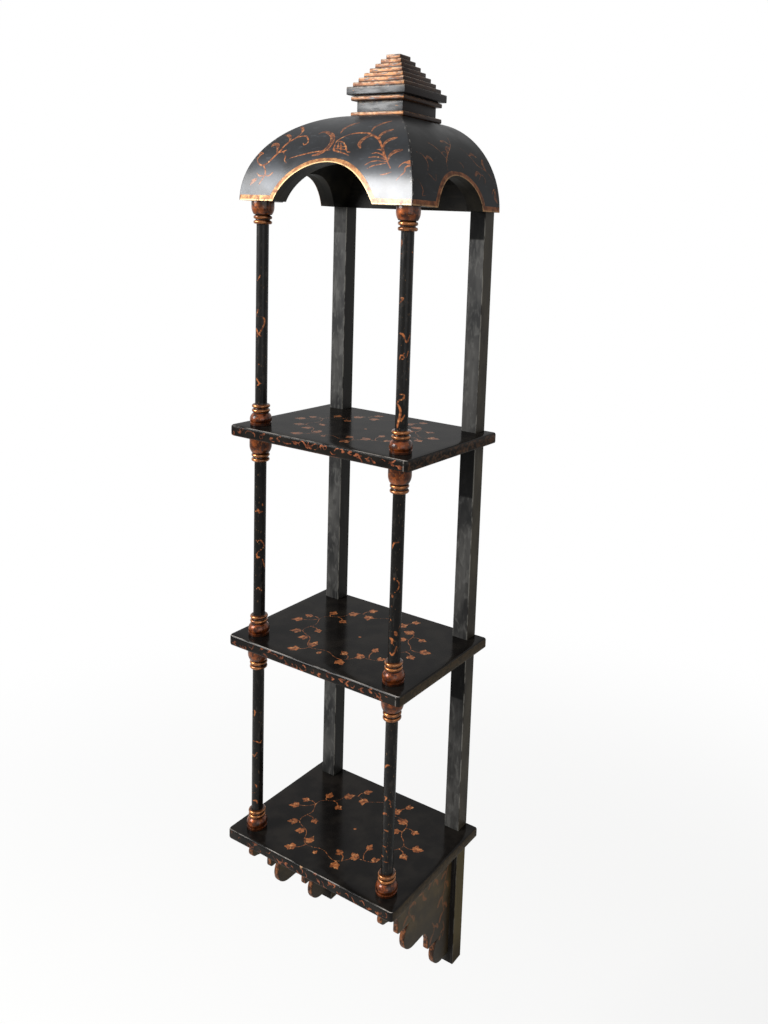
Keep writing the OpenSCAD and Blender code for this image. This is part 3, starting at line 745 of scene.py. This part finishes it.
def wreath_field(spots):
    """Ivy wreath: a closed wavy stem with leaves on both sides of it."""
    stem = []
    for i in range(49):
        a = 2 * pi * i / 48
        wave = WAVE_HEIGHT * sin(WAVES * a + 0.6)
        stem.append(((WREATH_HALF_X + wave) * cos(a), WREATH_MIDDLE_Y
                     + (WREATH_HALF_Y + wave) * sin(a), 0.35))
    x, y = LONE_DOT
    shapes = [brush(spots, curve(stem, 3.0)), ivy(spots, *LONE_LEAF, 80, 5.5),
              brush(spots, np.array([(x, y, 1.6), (x + 1.2, y + 0.4, 1.6)]))]
    for i, (x, y) in enumerate(WREATH_LEAVES):
        root = min(stem, key=lambda at: hypot(at[0] - x, at[1] - y))[:2]
        away = atan2(y - root[1], x - root[0])
        turn = degrees(away) + 25 * sin(2.3 * i)
        shapes.append(ivy(spots, x, y, turn, 10 + 1.7 * sin(1.7 * i),
                          22 * sin(3.1 * i)))
        bow = 3 * (-1) ** i
        bent = ((x + root[0]) / 2 - bow * sin(away),
                (y + root[1]) / 2 + bow * cos(away))
        shapes.append(stroke(spots, [root, bent, (x, y)], 0.5, 0.9))
    return nearest(shapes)


def edge_vine(spots, seed):
    """Hooks, waves and small leaves along a shelf's front edge."""
    chance = random.Random(seed)
    shapes = []
    x = -150.0
    while x < 147:
        bend = chance.uniform(-1.1, 1.1)
        heading = chance.uniform(-0.9, 0.9)
        at, z = x, chance.uniform(-11, -5)
        points = [(at, z)]
        for _ in range(chance.randint(3, 6)):
            step = chance.uniform(2.2, 3.8)
            at += step * cos(heading)
            z = min(max(z + step * sin(heading), -13.5), -2.5)
            heading += bend + chance.uniform(-0.5, 0.5)
            points.append((at, z))
        shapes.append(stroke(spots, points, chance.uniform(0.45, 1.0), 0.4))
        if chance.random() < 0.55:
            (a, b), lean = points[1], chance.choice((-1, 1))
            shapes.append(leaf(spots, [(a, b), (a + 2, b + 2.2 * lean),
                                       (a + 5, b + 3 * lean)], 1.4))
        x += chance.uniform(6, 16)
    return nearest(shapes)


# Places on the top shelf where its close grid starts and ends, in front of
# the posts, beside them and between them
GRID_X, GRID_Y = 148, -203
BESIDE_X, BESIDE_Y = 124, -26
BETWEEN_X, BETWEEN_Y = 112.3, -15.5


def shelf_board():
    """The top shelf: block, rounded corners, eased edges and notches."""
    z = SHELF_TOPS["top"]
    half = SHELF_W / 2
    shelf = block("lacquered_shelf_top", (-half, -SHELF_D, z - SHELF_T),
                  (half, 0, z))
    edit(shelf)
    pick(shelf, "EDGE", lambda e: abs(run(e).z) > 0.9 and middle(e).y < -1)
    bpy.ops.mesh.bevel(offset=SHELF_CORNER * MM, segments=6)
    pick(shelf, "EDGE", lambda e: abs(run(e).z) < 0.1 and middle(e).y < -1)
    bpy.ops.mesh.bevel(offset=SHELF_EASE * MM, segments=4)
    leave()
    wide = POST_W / 2 + 0.15
    cut_away(shelf, *[
        block("notch", (x - wide, -POST_D, z - SHELF_T - 5),
              (x + wide, 5, z + 5)) for x in (-POST_X, POST_X)])
    edit(shelf)
    score_along("x", [*np.linspace(-GRID_X, GRID_X, 33),
                      -BETWEEN_X, BETWEEN_X, -BESIDE_X, BESIDE_X])
    score_along("y", [*np.linspace(GRID_Y, BESIDE_Y, 18), BETWEEN_Y])

    def wanted(face):
        m = face.calc_center_median() / MM
        return (face.normal.y < -0.25 and abs(m.x) < GRID_X + 3) or (
            face.normal.z > 0.99 and m.y > GRID_Y and (
                (abs(m.x) < BESIDE_X and m.y < BESIDE_Y)
                or (abs(m.x) < BETWEEN_X and m.y < BETWEEN_Y)))
    pick(shelf, "FACE", wanted)
    bpy.ops.mesh.subdivide(number_cuts=7)
    leave()
    smooth(shelf)
    place = points_of(shelf)
    top = place[:, 2] > z - 0.05
    draw_part(shelf, "wreath", top, wreath_field(place[top, :2]))
    return shelf


def paint_edge(shelf, z, seed, chip_x=None):
    """Draws the vine on the front edge, and the knock beside the middle."""
    place = points_of(shelf)
    front = place[:, 1] < -SHELF_D + 3.2
    spots = place[front][:, [0, 2]] - np.array([0, z])
    draw_part(shelf, "edge_vine", front, edge_vine(spots, seed))
    knock = np.zeros(len(place))
    if chip_x is not None:
        gap = np.linalg.norm(place - np.array([chip_x, -SHELF_D, z]), axis=1)
        knock = np.clip((3.4 - gap) / 1.2, 0, 1)
        knock[place[:, 1] > -SHELF_D + 1.2] = 0
    draw(shelf, "chip", knock)


# --- dome ---

# Each stroke is a half width and then x and y in turn: along the board and
# up round its face from the rim.
FRONT_STROKES = [
    (1.6, -120, 68, -125, 64, -126, 57, -120, 51, -112, 49, -104, 54, -97, 63,
     -91, 72, -87, 83, -81, 91, -72, 98, -61, 99, -53, 93, -49, 86, -53, 82,
     -57, 85), (1.3, -127, 58, -129, 64, -125, 69, -120, 68),
    (1.45, -112, 49, -106, 43, -104, 36, -107, 30, -112, 22),
    (1.2, -104, 35, -97, 34, -90, 39), (1.2, -106, 34, -114, 34, -120, 38),
    (1.2, -92, 69, -84, 71, -79, 74),
    (1.2, -84, 71, -81, 66, -77, 63, -76, 57, -71, 53),
    (1.3, -76, 96, -73, 104, -74, 111, -78, 117, -84, 120),
    (1.2, -68, 60, -57, 63, -46, 66, -32, 69, -19, 71, -3, 73),
    (1.6, 0, 89, 7, 96, 17, 102, 30, 104, 44, 103, 58, 97, 70, 89, 79, 79, 87,
     70, 96, 58, 106, 46),
    (1.3, 0, 89, 12, 86, 20, 79, 24, 74, 27, 70, 33, 69),
    (1.3, 0, 89, 1, 80, 3, 73, 12, 70, 24, 67, 32, 64),
    (1, 4, 86, 8, 78, 9, 72), (1, 8, 86, 13, 78, 16, 71),
    (1, 2, 80, 11, 79, 20, 78), (1, 3, 75, 12, 75, 23, 73),
    (1.3, 118, 47, 122, 52, 127, 54, 134, 51, 129, 47, 129, 41, 124, 36, 119,
     30), (1, 92, 37, 100, 38, 109, 41),
    (1, 95, 57, 84, 61, 75, 62, 66, 61),
    (1, 93, 60, 84, 66, 76, 68, 69, 67),
    (1, 91, 62, 85, 70, 79, 73, 74, 73),
    (1, 97, 55, 84, 56, 73, 55, 64, 50),
    (1, 97, 53, 86, 51, 77, 49, 69, 45)]
FRONT_LEAVES = [
    (2.6, -95, 68, -98, 76, -101, 82, -109, 84, -111, 80),
    (2.2, -84, 87, -86, 95, -93, 101, -99, 102),
    (2.2, -74, 108, -79, 117, -86, 122), (2.4, -128, 21, -124, 26, -119, 29),
    (3.4, -41, 103, -35, 108, -24, 105, -13, 98, -7, 86, -10, 75, -19, 67, -30,
     64), (3.0, 58, 97, 50, 98, 43, 91, 41, 83, 46, 76),
    (2.6, 70, 90, 67, 98, 71, 105, 80, 110),
    (2.6, 84, 74, 82, 83, 87, 90, 96, 93),
    (2.6, 99, 56, 99, 64, 105, 70, 114, 72),
    (2.0, 48, 105, 46, 116, 52, 126, 62, 134),
    (2.2, -3, 104, -4, 113, 0, 123, 10, 131), (2.0, 127, 54, 133, 55, 137, 50)]
SIDE_STROKES = [
    (0.9, -179, 71, -169, 69, -164, 63, -163, 55, -168, 46),
    (0.8, -171, 44, -163, 39, -155, 34, -151, 43),
    (0.9, -71, 112, -82, 94, -104, 76, -116, 63, -120, 50),
    (0.8, -196, 33, -190, 28, -186, 20, -188, 13, -180, 14),
    (0.8, -88, 68, -79, 63, -78, 54), (0.8, -100, 75, -110, 79, -118, 77),
    (0.8, -19, 25, -10, 32, -6, 13), (0.8, -48, 42, -37, 51, -30, 46, -33, 38),
    (0.9, -140, 92, -128, 86, -118, 76, -110, 64),
    (0.9, -60, 92, -48, 80, -38, 66, -20, 58, -8, 46)]
SIDE_LEAVES = [
    (2.2, -164, 63, -156, 66, -149, 62), (2.2, -104, 76, -99, 86, -90, 89),
    (2.2, -82, 94, -92, 99, -101, 98), (2.2, -48, 80, -39, 84, -31, 80),
    (2.2, -20, 58, -22, 68, -17, 76), (2.2, -37, 51, -46, 54, -53, 49),
    (2.0, -6, 13, -12, 20, -10, 28)]

# Spacing of the lines along a curved board, before they are divided again
DOME_GRID = 9.6


def scroll_fields(spots, strokes, leaves):
    """Drawn lines, and the filled shapes that they surround."""
    shapes = from_table(spots, leaves, leaf)
    edges = [abs(shape + 0.7) - 0.7 for shape in shapes]
    return nearest(from_table(spots, strokes, stroke) + edges), nearest(shapes)


def arch_radius(half, high):
    """Radius of an arch from half its width and its height."""
    return (half * half + high * high) / (2 * high)


def band_field(spots, arch_middle, half, high):
    """Distance to the copper band along the rim and round the arch."""
    radius = arch_radius(half, high)
    reach = asin(half / radius)
    edge = []
    for a in np.linspace(-reach, reach, 61):
        up = high - radius + radius * cos(a)
        round_up = DOME_R * asin(min(max(up, 0) / DOME_R, 1))
        edge.append((arch_middle + radius * sin(a), round_up, ARCH_BAND))
    return np.minimum(brush(spots, np.array(edge)), spots[:, 1] - RIM_BAND)


def dome_board(name, axis):
    """Curved board: outer grid, hips, hollow and arch."""
    if axis == "x":
        along, low, top = 0, -DOME_HALF, DOME_HALF
        centre = hollow_at = (0, DOME_Y, RIM)
        cuts = [((0, CROWN_Y, 0), (0, 1, 0)),
                ((top, -DOME_D, 0), (1, 1, 0)),
                ((low, -DOME_D, 0), (-1, 1, 0))]
        half, high, arch_at = ARCH_HALF, ARCH_H, 0
        arch_centre, arch_axis = (arch_at, -150), "y"
        strokes, leaves = FRONT_STROKES, FRONT_LEAVES
    else:
        along, low, top = 1, -DOME_D, 0
        centre, hollow_at = (DOME_X, low / 2, RIM), (DOME_X, -100, RIM)
        cuts = [((CROWN_X, 0, 0), (-1, 0, 0)),
                ((DOME_HALF, low, 0), (-1, -1, 0))]
        half, high, arch_at = SIDE_ARCH_HALF, SIDE_ARCH_H, SIDE_ARCH_Y
        arch_centre, arch_axis = (100, arch_at), "x"
        strokes, leaves = SIDE_STROKES, SIDE_LEAVES
    board = rod(name, centre, DOME_R, top - low, axis, sides=660)
    edit(board)
    slice_off((0, 0, RIM), (0, 0, -1))
    for point, normal in cuts:
        slice_off(point, normal)
    score_along(axis, np.arange(low + DOME_GRID, top - 1, DOME_GRID))

    def lengthwise(edge):
        m = middle(edge)
        across = m[1 - along] - centre[1 - along]
        return (abs(run(edge)[along]) >= 0.999
                and edge.calc_length() >= 9 * MM
                and abs(hypot(across, m.z - RIM) - DOME_R) < 0.3)
    pick(board, "EDGE", lengthwise)
    bpy.ops.mesh.subdivide(number_cuts=7)
    leave()
    radius = arch_radius(half, high)
    cut_away(board, rod("hollow", hollow_at, DOME_IN_R, 400, axis, sides=240),
             rod("arch", (*arch_centre, RIM + high - radius), radius, 300,
                 arch_axis, sides=256))
    smooth(board)
    place = points_of(board)
    up = DOME_R * np.arcsin(np.clip((place[:, 2] - RIM) / DOME_R, 0, 1))
    out = np.hypot(place[:, 1 - along] - centre[1 - along],
                   place[:, 2] - RIM) >= DOME_R - 1
    spots = np.column_stack([place[:, along], up])[out]
    line, wash = scroll_fields(spots, strokes, leaves)
    draw_part(board, "line", out, line)
    draw_part(board, "wash", out, wash)
    draw_part(board, "band", out, band_field(spots, arch_at, half, high))
    return board


# --- columns ---

SHAFT_R = 8.5
# Rings and bells start and end here, above the foot and below the head
FOOT_TOP, HEAD_LOW = 31, 32
# Heights of the rings' middles: above the foot, then below the head
RING_R = 2.6
RINGS, TOP_RINGS = (21.4, 28.0), (22.1, 28.9)
# Painted shade in the grooves and where the column meets the shelves, and how
# dark each is, above the foot and below the head
CREASE_SHADES = [(0, 0.8, 0.9), (3.0, 3.5, 0.7), (4.4, 5.4, 0.7), (17.2, 19.2, 0.9),
           (23.6, 25.8, 0.95), (30.4, 31.4, 0.8)]
TOP_CREASE_SHADES = [(31.4, 32.4, 0.8), (24.4, 26.7, 0.95), (18.2, 19.8, 0.9),
               (0, 2, 0.75), (2, 4.5, 0.4)]

# Sprigs on each shaft: half width of the brush, then places in turn, round
# the shaft from its seen side and up from its foot.
SPRIGS = {
    ("top", -1): [
        (0.8, -3, 215, -5, 211, -8, 207), (0.9, -6, 167, -7, 163, -9, 160),
        (1, -9, 156, -4, 156, 1, 156, 4, 153, 3, 146, 0, 139, -4, 133, -7,
         128), (1.3, -9, 139, -7, 135, -7, 129),
        (0.8, -6, 133, -3, 131, 0, 128), (0.7, -8, 91, -5, 90, -3, 88),
        (1.1, -8, 68, -5, 65, -3, 61, -6, 58), (0.7, -3, 61, 0, 62)],
    ("top", 1): [
        (0.8, -9, 275, -8, 271, -10, 266), (0.8, -10, 258, -6, 257),
        (0.8, 7, 261, 9, 259), (1, -7, 203, -3, 202, -6, 198, -9, 195),
        (1.4, -6, 157, -2, 156, 0, 153), (0.9, 0, 153, 3, 146, 6, 151, 9, 157),
        (0.9, -6, 123, -4, 129, 1, 127, -2, 124), (0.8, 1, 133, -1, 129),
        (0.7, 6, 135, 4, 127), (1.2, -4, 78, 2, 78, 1, 73, -4, 71, -8, 67),
        (1.6, -7, 65, -3, 61, -2, 53, -4, 45, -6, 35),
        (1, 4, 52, 1, 47, -1, 43)],
    ("middle", -1): [
        (1, -8, 190, -4, 192, 0, 190, 4, 191),
        (1.1, -3, 195, -2, 192, -1, 189), (0.7, 3, 203, 4, 199),
        (0.8, -6, 148, -3, 145, 0, 148, 4, 144, 7, 138, 4, 134, -2, 130, -5,
         125), (1.5, -5, 125, -3, 121, 0, 122), (0.9, 4, 118, 7, 110, 9, 103),
        (0.8, -4, 73, -1, 75, 1, 72, 4, 69), (0.7, 0, 71, 3, 75)],
    ("middle", 1): [
        (1, -8, 191, -5, 198, -1, 199, 3, 201), (1.4, -3, 150, -3, 148),
        (0.7, -3, 149, 2, 146, 4, 141, 2, 134, -3, 129),
        (1.9, -5, 126, -5, 124), (0.8, -6, 111, -5, 110),
        (0.9, -7, 92, -6, 90), (0.9, 1, 76, 3, 73, 2, 70, 0, 73, 0, 76),
        (1.5, -7, 65, -3, 64, -4, 59), (0.8, -4, 59, -1, 57),
        (1.1, 3, 54, 1, 47, -3, 42, -6, 45), (0.7, 8, 84, 6, 80)],
    ("bottom", -1): [
        (0.9, -6, 195, -5, 193, -6, 186), (0.8, -5, 193, -2, 193),
        (0.9, -8, 145, -2, 145, 3, 142, 6, 145), (1.2, -9, 122, -5, 120),
        (0.9, -5, 120, -3, 124, -1, 127), (1, -7, 73, -2, 73, -1, 69),
        (0.9, -9, 59, -4, 60), (1.1, -7, 47, -2, 48, 0, 43)],
    ("bottom", 1): [
        (1.3, -9, 192, -5, 196, -2, 197), (1.1, -7, 149, -4, 148, -7, 143),
        (0.7, -1, 146, 2, 142, 0, 139), (0.7, 2, 137, 3, 134),
        (1.2, -13, 120, -5, 125, -3, 123), (1.1, -6, 99, -3, 99, 0, 98),
        (0.8, -8, 74, -3, 75, 0, 76), (0.8, -2, 69, -1, 66),
        (1.1, -13, 57, -6, 59), (0.7, -5, 52, 2, 51)]}


def arc(middle_r, middle_z, radius, start, end, count):
    """Points of a section's arc, (distance from the axis, height)."""
    return [(middle_r + radius * cos(radians(a)),
             middle_z + radius * sin(radians(a)))
            for a in np.linspace(start, end, count)]


def column_section(high, longer):
    """Half section of a column, from its foot on the axis to its top."""
    cap = high - longer
    points = [(0, 0), (14.4, 0), (14.8, 0.4), (14.8, 3.0), (15.2, 3.3),
              (15.2, 4.2), (14.6, 4.5)]
    points += arc(5.0, 9, 10.5, -20, 56, 13) + [(10.8, 18.6)]
    points += arc(10.3, RINGS[0], RING_R, -78, 92, 10) + [(9.9, 24.7)]
    points += arc(10.3, RINGS[1], RING_R, -92, 90, 11) + [(8.6, 30.7)]
    points += [(SHAFT_R, 31.1), (SHAFT_R, cap - 32.0), (8.6, cap - 31.6)]
    points += arc(10.3, cap - TOP_RINGS[1], RING_R, -90, 92, 11)
    points += [(9.9, cap - 25.5)]
    points += arc(10.3, cap - TOP_RINGS[0], RING_R, -92, 90, 11)
    points += [(9.9, cap - 19.2), (11.6, cap - 18.5)]
    points += arc(-2.3, cap - 8, 18, -35, 0, 10)
    return points + [(15.7, high - 0.5), (15.2, high), (0, high)]


def column_vine(spots, bay, s):
    """Sprigs on the seen side, and the same ones higher on the far side."""
    behind, sprigs = spots * (-1, 1) + (26.7, -14), SPRIGS[bay, s]
    return nearest(from_table(spots, sprigs, stroke, 0.6)
                   + from_table(behind, sprigs, stroke, 0.6))


def turned_column(name, s, bay, low, high, longer):
    """Lathe-turned column, spun from its section."""
    deselect()
    bpy.ops.mesh.primitive_plane_add(size=MM, location=(0, 0, 0))
    column = settle(name)
    edit(column, "VERT", "SELECT")
    bpy.ops.mesh.merge(type="CENTER")
    select("SELECT")
    section = column_section(high, longer)
    for (r, z), (next_r, next_z) in zip(section, section[1:]):
        pull_out(next_r - r, next_z - z)
    select("SELECT")
    bpy.ops.mesh.spin(steps=48, angle=2 * pi, center=(0, 0, 0),
                      axis=(0, 0, 1))
    select("SELECT")
    bpy.ops.mesh.remove_doubles(threshold=1e-5)
    # Only the shaft's edges are this long.
    pick(column, "EDGE", lambda e: e.calc_length() > 60 * MM)
    bpy.ops.mesh.subdivide(number_cuts=190)
    face_outward()
    leave()
    smooth(column, 40)
    place = points_of(column)
    z, cap = place[:, 2], high - longer
    draw(column, "gilt", (z < FOOT_TOP) | (z > cap - HEAD_LOW + 0.1))
    ring, crease_shade = np.zeros((2, len(z)))
    for at in (*RINGS, cap - TOP_RINGS[0], cap - TOP_RINGS[1]):
        ring[abs(z - at) < RING_R + 0.05] = 1
    ring[z > cap - 18.6] = 0.1
    draw(column, "ring", ring)
    for a, b, depth in CREASE_SHADES + [(cap - b, cap - a, depth)
                                  for a, b, depth in TOP_CREASE_SHADES]:
        crease_shade[(z >= a) & (z <= b)] = depth
    draw(column, "crease_shade", crease_shade)
    shaft = ((np.hypot(place[:, 0], place[:, 1]) < 9.2) & (z > FOOT_TOP)
             & (z < cap - HEAD_LOW))
    turn = np.degrees(np.arctan2(place[:, 1], place[:, 0]))
    seen = -54 if s > 0 else -45
    around = ((turn - seen + 90) % 360 - 90) * pi / 180 * SHAFT_R
    spots = np.column_stack([around, z])[shaft]
    draw_part(column, "vine", shaft, column_vine(spots, bay, s))
    shift(column, (s * COLUMN_X, COLUMN_Y, low))
    return column


# --- brackets ---

BRACKET_SPRIGS = [
    (1.1, -31, -962, -36, -976, -41, -990, -40, -1004),
    (1.2, -40, -1000, -45, -1012, -44, -1026, -40, -1040),
    (1, -42, -1058, -38, -1072, -42, -1086),
    (0.9, -103, -951, -97, -962, -101, -972),
    (0.9, -76, -953, -70, -964, -73, -976),
    (0.9, -133, -966, -136, -978, -129, -989),
    (0.9, -72, -1040, -66, -1052, -68, -1062)]
BRACKET_LEAVES = [
    (2.4, -36, -976, -44, -974, -50, -979),
    (2.2, -40, -990, -34, -996, -31, -1004),
    (2.6, -45, -1012, -53, -1014, -58, -1022),
    (2.3, -44, -1026, -37, -1030, -33, -1038),
    (2.2, -40, -1040, -48, -1044, -52, -1052),
    (2, -40, -1072, -47, -1076, -50, -1084),
    (2.6, -97, -960, -90, -955, -85, -957),
    (2.4, -99, -968, -107, -968, -113, -963),
    (2.3, -101, -972, -98, -981, -92, -986),
    (2.3, -72, -962, -80, -966, -85, -973),
    (2.2, -71, -968, -64, -974, -61, -981),
    (2.6, -134, -972, -126, -970, -120, -974),
    (2.4, -134, -982, -142, -984, -148, -990),
    (2.2, -130, -988, -124, -994, -122, -1001),
    (2.3, -68, -1050, -60, -1052, -56, -1058),
    (2.1, -68, -1060, -74, -1066, -76, -1073)]


BRACKET_EASE, BRACKET_GRID = 1.6, 8


def bracket_board(hand):
    """Scalloped board with softened edges and a grid for its sprigs."""
    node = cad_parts["bracket_" + hand]
    board = bpy.data.objects.new("painted_bracket_" + hand, node.data.copy())
    bpy.context.collection.objects.link(board)
    board.matrix_world = node.matrix_world
    alone(board)
    bpy.ops.object.transform_apply(location=True, rotation=True, scale=True)
    edit(board, "VERT", "SELECT")
    bpy.ops.mesh.remove_doubles(threshold=1e-6)
    bpy.ops.mesh.dissolve_limited(angle_limit=radians(0.5))

    def rim(edge):
        """Sawn edges in front of the post."""
        if len(edge.link_faces) != 2 or middle(edge).y > -24.5:
            return False
        one, two = sorted(abs(face.normal.x) for face in edge.link_faces)
        return one < 0.1 and two > 0.9
    pick(board, "EDGE", rim)
    bpy.ops.mesh.bevel(offset=BRACKET_EASE * MM, segments=3)
    select("DESELECT", "FACE")
    score_along("y", np.arange(-196, -25, BRACKET_GRID))
    score_along("z", np.arange(-1120, -928, BRACKET_GRID))
    pick(board, "FACE", lambda face: abs(face.normal.x) > 0.9
         and face.calc_area() > 30 * MM * MM)
    bpy.ops.mesh.subdivide(number_cuts=4)
    leave()
    smooth(board)
    spots = points_of(board)[:, 1:]
    draw(board, "vine", nearest(
        from_table(spots, BRACKET_SPRIGS, stroke, 0.7)
        + from_table(spots, BRACKET_LEAVES, leaf)))
    return board


# --- finial ---

# Groove under the slab: its height and how far in it lies
QUIRK_H, QUIRK_IN = 1.7, 9.0


def finial_block(part, ease, quirk, material, slot):
    """Square block of the finial with all its edges softened."""
    node_name = "finial_" + part
    low, high = (Vector(corner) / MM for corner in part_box(node_name))
    low.z += quirk
    piece = block("softened_" + node_name, low, high)
    edit(piece, "EDGE", "SELECT")
    bpy.ops.mesh.bevel(offset=ease * MM, segments=3)
    if quirk:
        pick(piece, "FACE", lambda face: face.normal.z < -0.99)
        bpy.ops.mesh.inset(thickness=(QUIRK_IN - ease) * MM)
        pull_out(0, -quirk)
    leave()
    smooth(piece)
    draw(piece, "low", points_of(piece)[:, 2] < (low.z + high.z) / 2)
    finish_piece(piece, material, slot, node_name)


# --- making ---

shelf_paint = shelf_finish()
front_paint = dome_finish("copper_black_dome_front", "x")
side_paint = dome_finish("copper_black_dome_side", "y")
column_paint = column_finish()
post_paint = post_finish()
bracket_paint = bracket_finish()
inside_paint = inner_finish()
beech = beech_finish()
steel = steel_finish()
finial_copper = finial_finish("copper_black_steps", 0.78, 0.92)
finial_black = finial_finish("black_lacquer_neck", 0.04, 0.9)

for node_name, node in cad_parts.items():
    coat(node, post_paint if node_name.startswith("post")
         else steel if "screws" in node_name or "hanger" in node_name
         else beech if "dowel" in node_name else inside_paint)

shelves = {"top": shelf_board()}
for bay in ("middle", "bottom"):
    shelves[bay] = twin(shelves["top"], "lacquered_shelf_" + bay)
    shift(shelves[bay], (0, 0, SHELF_TOPS[bay] - SHELF_TOPS["top"]))
for (bay, shelf), seed in zip(shelves.items(), (4, 9, 23)):
    paint_edge(shelf, SHELF_TOPS[bay], seed, -8 if bay == "bottom" else None)
    finish_piece(shelf, shelf_paint, "black_lacquer", "shelf_" + bay)

dome_front = dome_board("painted_dome_front", "x")
finish_piece(dome_front, front_paint, "copper_black", "dome_front")
dome_right = dome_board("painted_dome_right", "y")
dome_left = twin(dome_right, "painted_dome_left")
alone(dome_left)
dome_left.scale = (-1, 1, 1)
bpy.ops.object.transform_apply(location=False, rotation=False, scale=True)
edit(dome_left)
face_outward()
leave()
finish_piece(dome_right, side_paint, "copper_black", "dome_right")
finish_piece(dome_left, side_paint, "copper_black", "dome_left")

# For each bay: the column's length and how much longer its bell is
for bay, high, longer in (("top", 317.7, 0), ("middle", 302.5, 6),
                          ("bottom", 298.5, 6)):
    for s, hand in ((-1, "left"), (1, "right")):
        column = turned_column(f"turned_column_{bay}_{hand}", s, bay,
                               SHELF_TOPS[bay], high, longer)
        finish_piece(column, column_paint, "copper_black",
                     f"column_{bay}_{hand}")

for hand in ("left", "right"):
    finish_piece(bracket_board(hand), bracket_paint, "post_black",
                 "bracket_" + hand)

# For each block of the finial: its easing, and the groove under it
for part, ease, quirk in (("base", 1.6, 0), ("neck", 0.5, 0),
                          ("fillet", 1.4, 0), ("slab", 1.0, QUIRK_H),
                          *((f"step_{i}", 1.2, 0) for i in range(1, 8))):
    black = part in ("neck", "slab")
    finial_block(part, ease, quirk, finial_black if black else finial_copper,
                 "black_lacquer" if black else "copper_black")


# --- light and camera ---

# From here on, places and sizes are in metres.
FLOOR_Z = -1.75
# Strength of the white room where no ray shows it
ROOM_LIGHT = 0.45


def studio_light(name, place, aim, power, size):
    """Soft square light that looks at a point."""
    lamp = bpy.data.lights.new(name, "AREA")
    lamp.energy, lamp.size = power, size
    carrier = bpy.data.objects.new(name, lamp)
    carrier.location = place
    carrier.rotation_euler = (Vector(aim) - Vector(place)).to_track_quat(
        "-Z", "Y").to_euler()
    scene.collection.objects.link(carrier)


scene = bpy.context.scene
studio_light("window_light", (-1.5, -1.95, 0.62), (0, -0.1, -0.35), 80, 1.2)
studio_light("side_fill", (2.2, -1.6, 0.3), (0, -0.1, -0.4), 16, 2.0)

scene.world = bpy.data.worlds.new("studio")
air = NodeTree(scene.world)
shown = air.ray("Camera").at_least(air.ray("Glossy")).at_least(
    air.ray("Transmission"))
sky = air.node("Background", {
    "Color": (1, 1, 1, 1), "Strength": ROOM_LIGHT + (1 - ROOM_LIGHT) * shown})
air.node("OutputWorld", {"Surface": sky.outputs[0]})

deselect()
bpy.ops.mesh.primitive_plane_add(size=14, location=(0, 0, FLOOR_Z))
floor = settle("studio_floor")
f = Finish("pale_floor")
# The floor is brighter to the camera, and white far from the object.
far = (f.x * f.x + f.y * f.y).root().rise(900, 2600)
matt = f.node("BsdfPrincipled", {
    "Base Color": paint("fbfbf9"), "Roughness": 0.9,
    "Specular IOR Level": 0.1})
glow = f.node("Emission", {"Color": (1, 1, 1, 1), "Strength": 1.0})
both = f.node("MixShader", {
    0: (0.72 + 0.28 * far) * f.ray("Camera"),
    1: matt.outputs[0], 2: glow.outputs[0]})
f.node("OutputMaterial", {"Surface": both.outputs[0]})
floor.data.materials.append(f.material)

lens = bpy.data.cameras.new("camera")
lens.lens, lens.sensor_width = 31.469, 36
lens.shift_x, lens.shift_y = -0.11175, -0.14528
camera = bpy.data.objects.new("camera", lens)
camera.location = (0.802746, -1.110099, 0.011005)
camera.rotation_euler = [radians(a) for a in (81.7531, -2.71118, 30.5829)]
scene.collection.objects.link(camera)
scene.camera = camera
scene.view_settings.view_transform = "Standard"
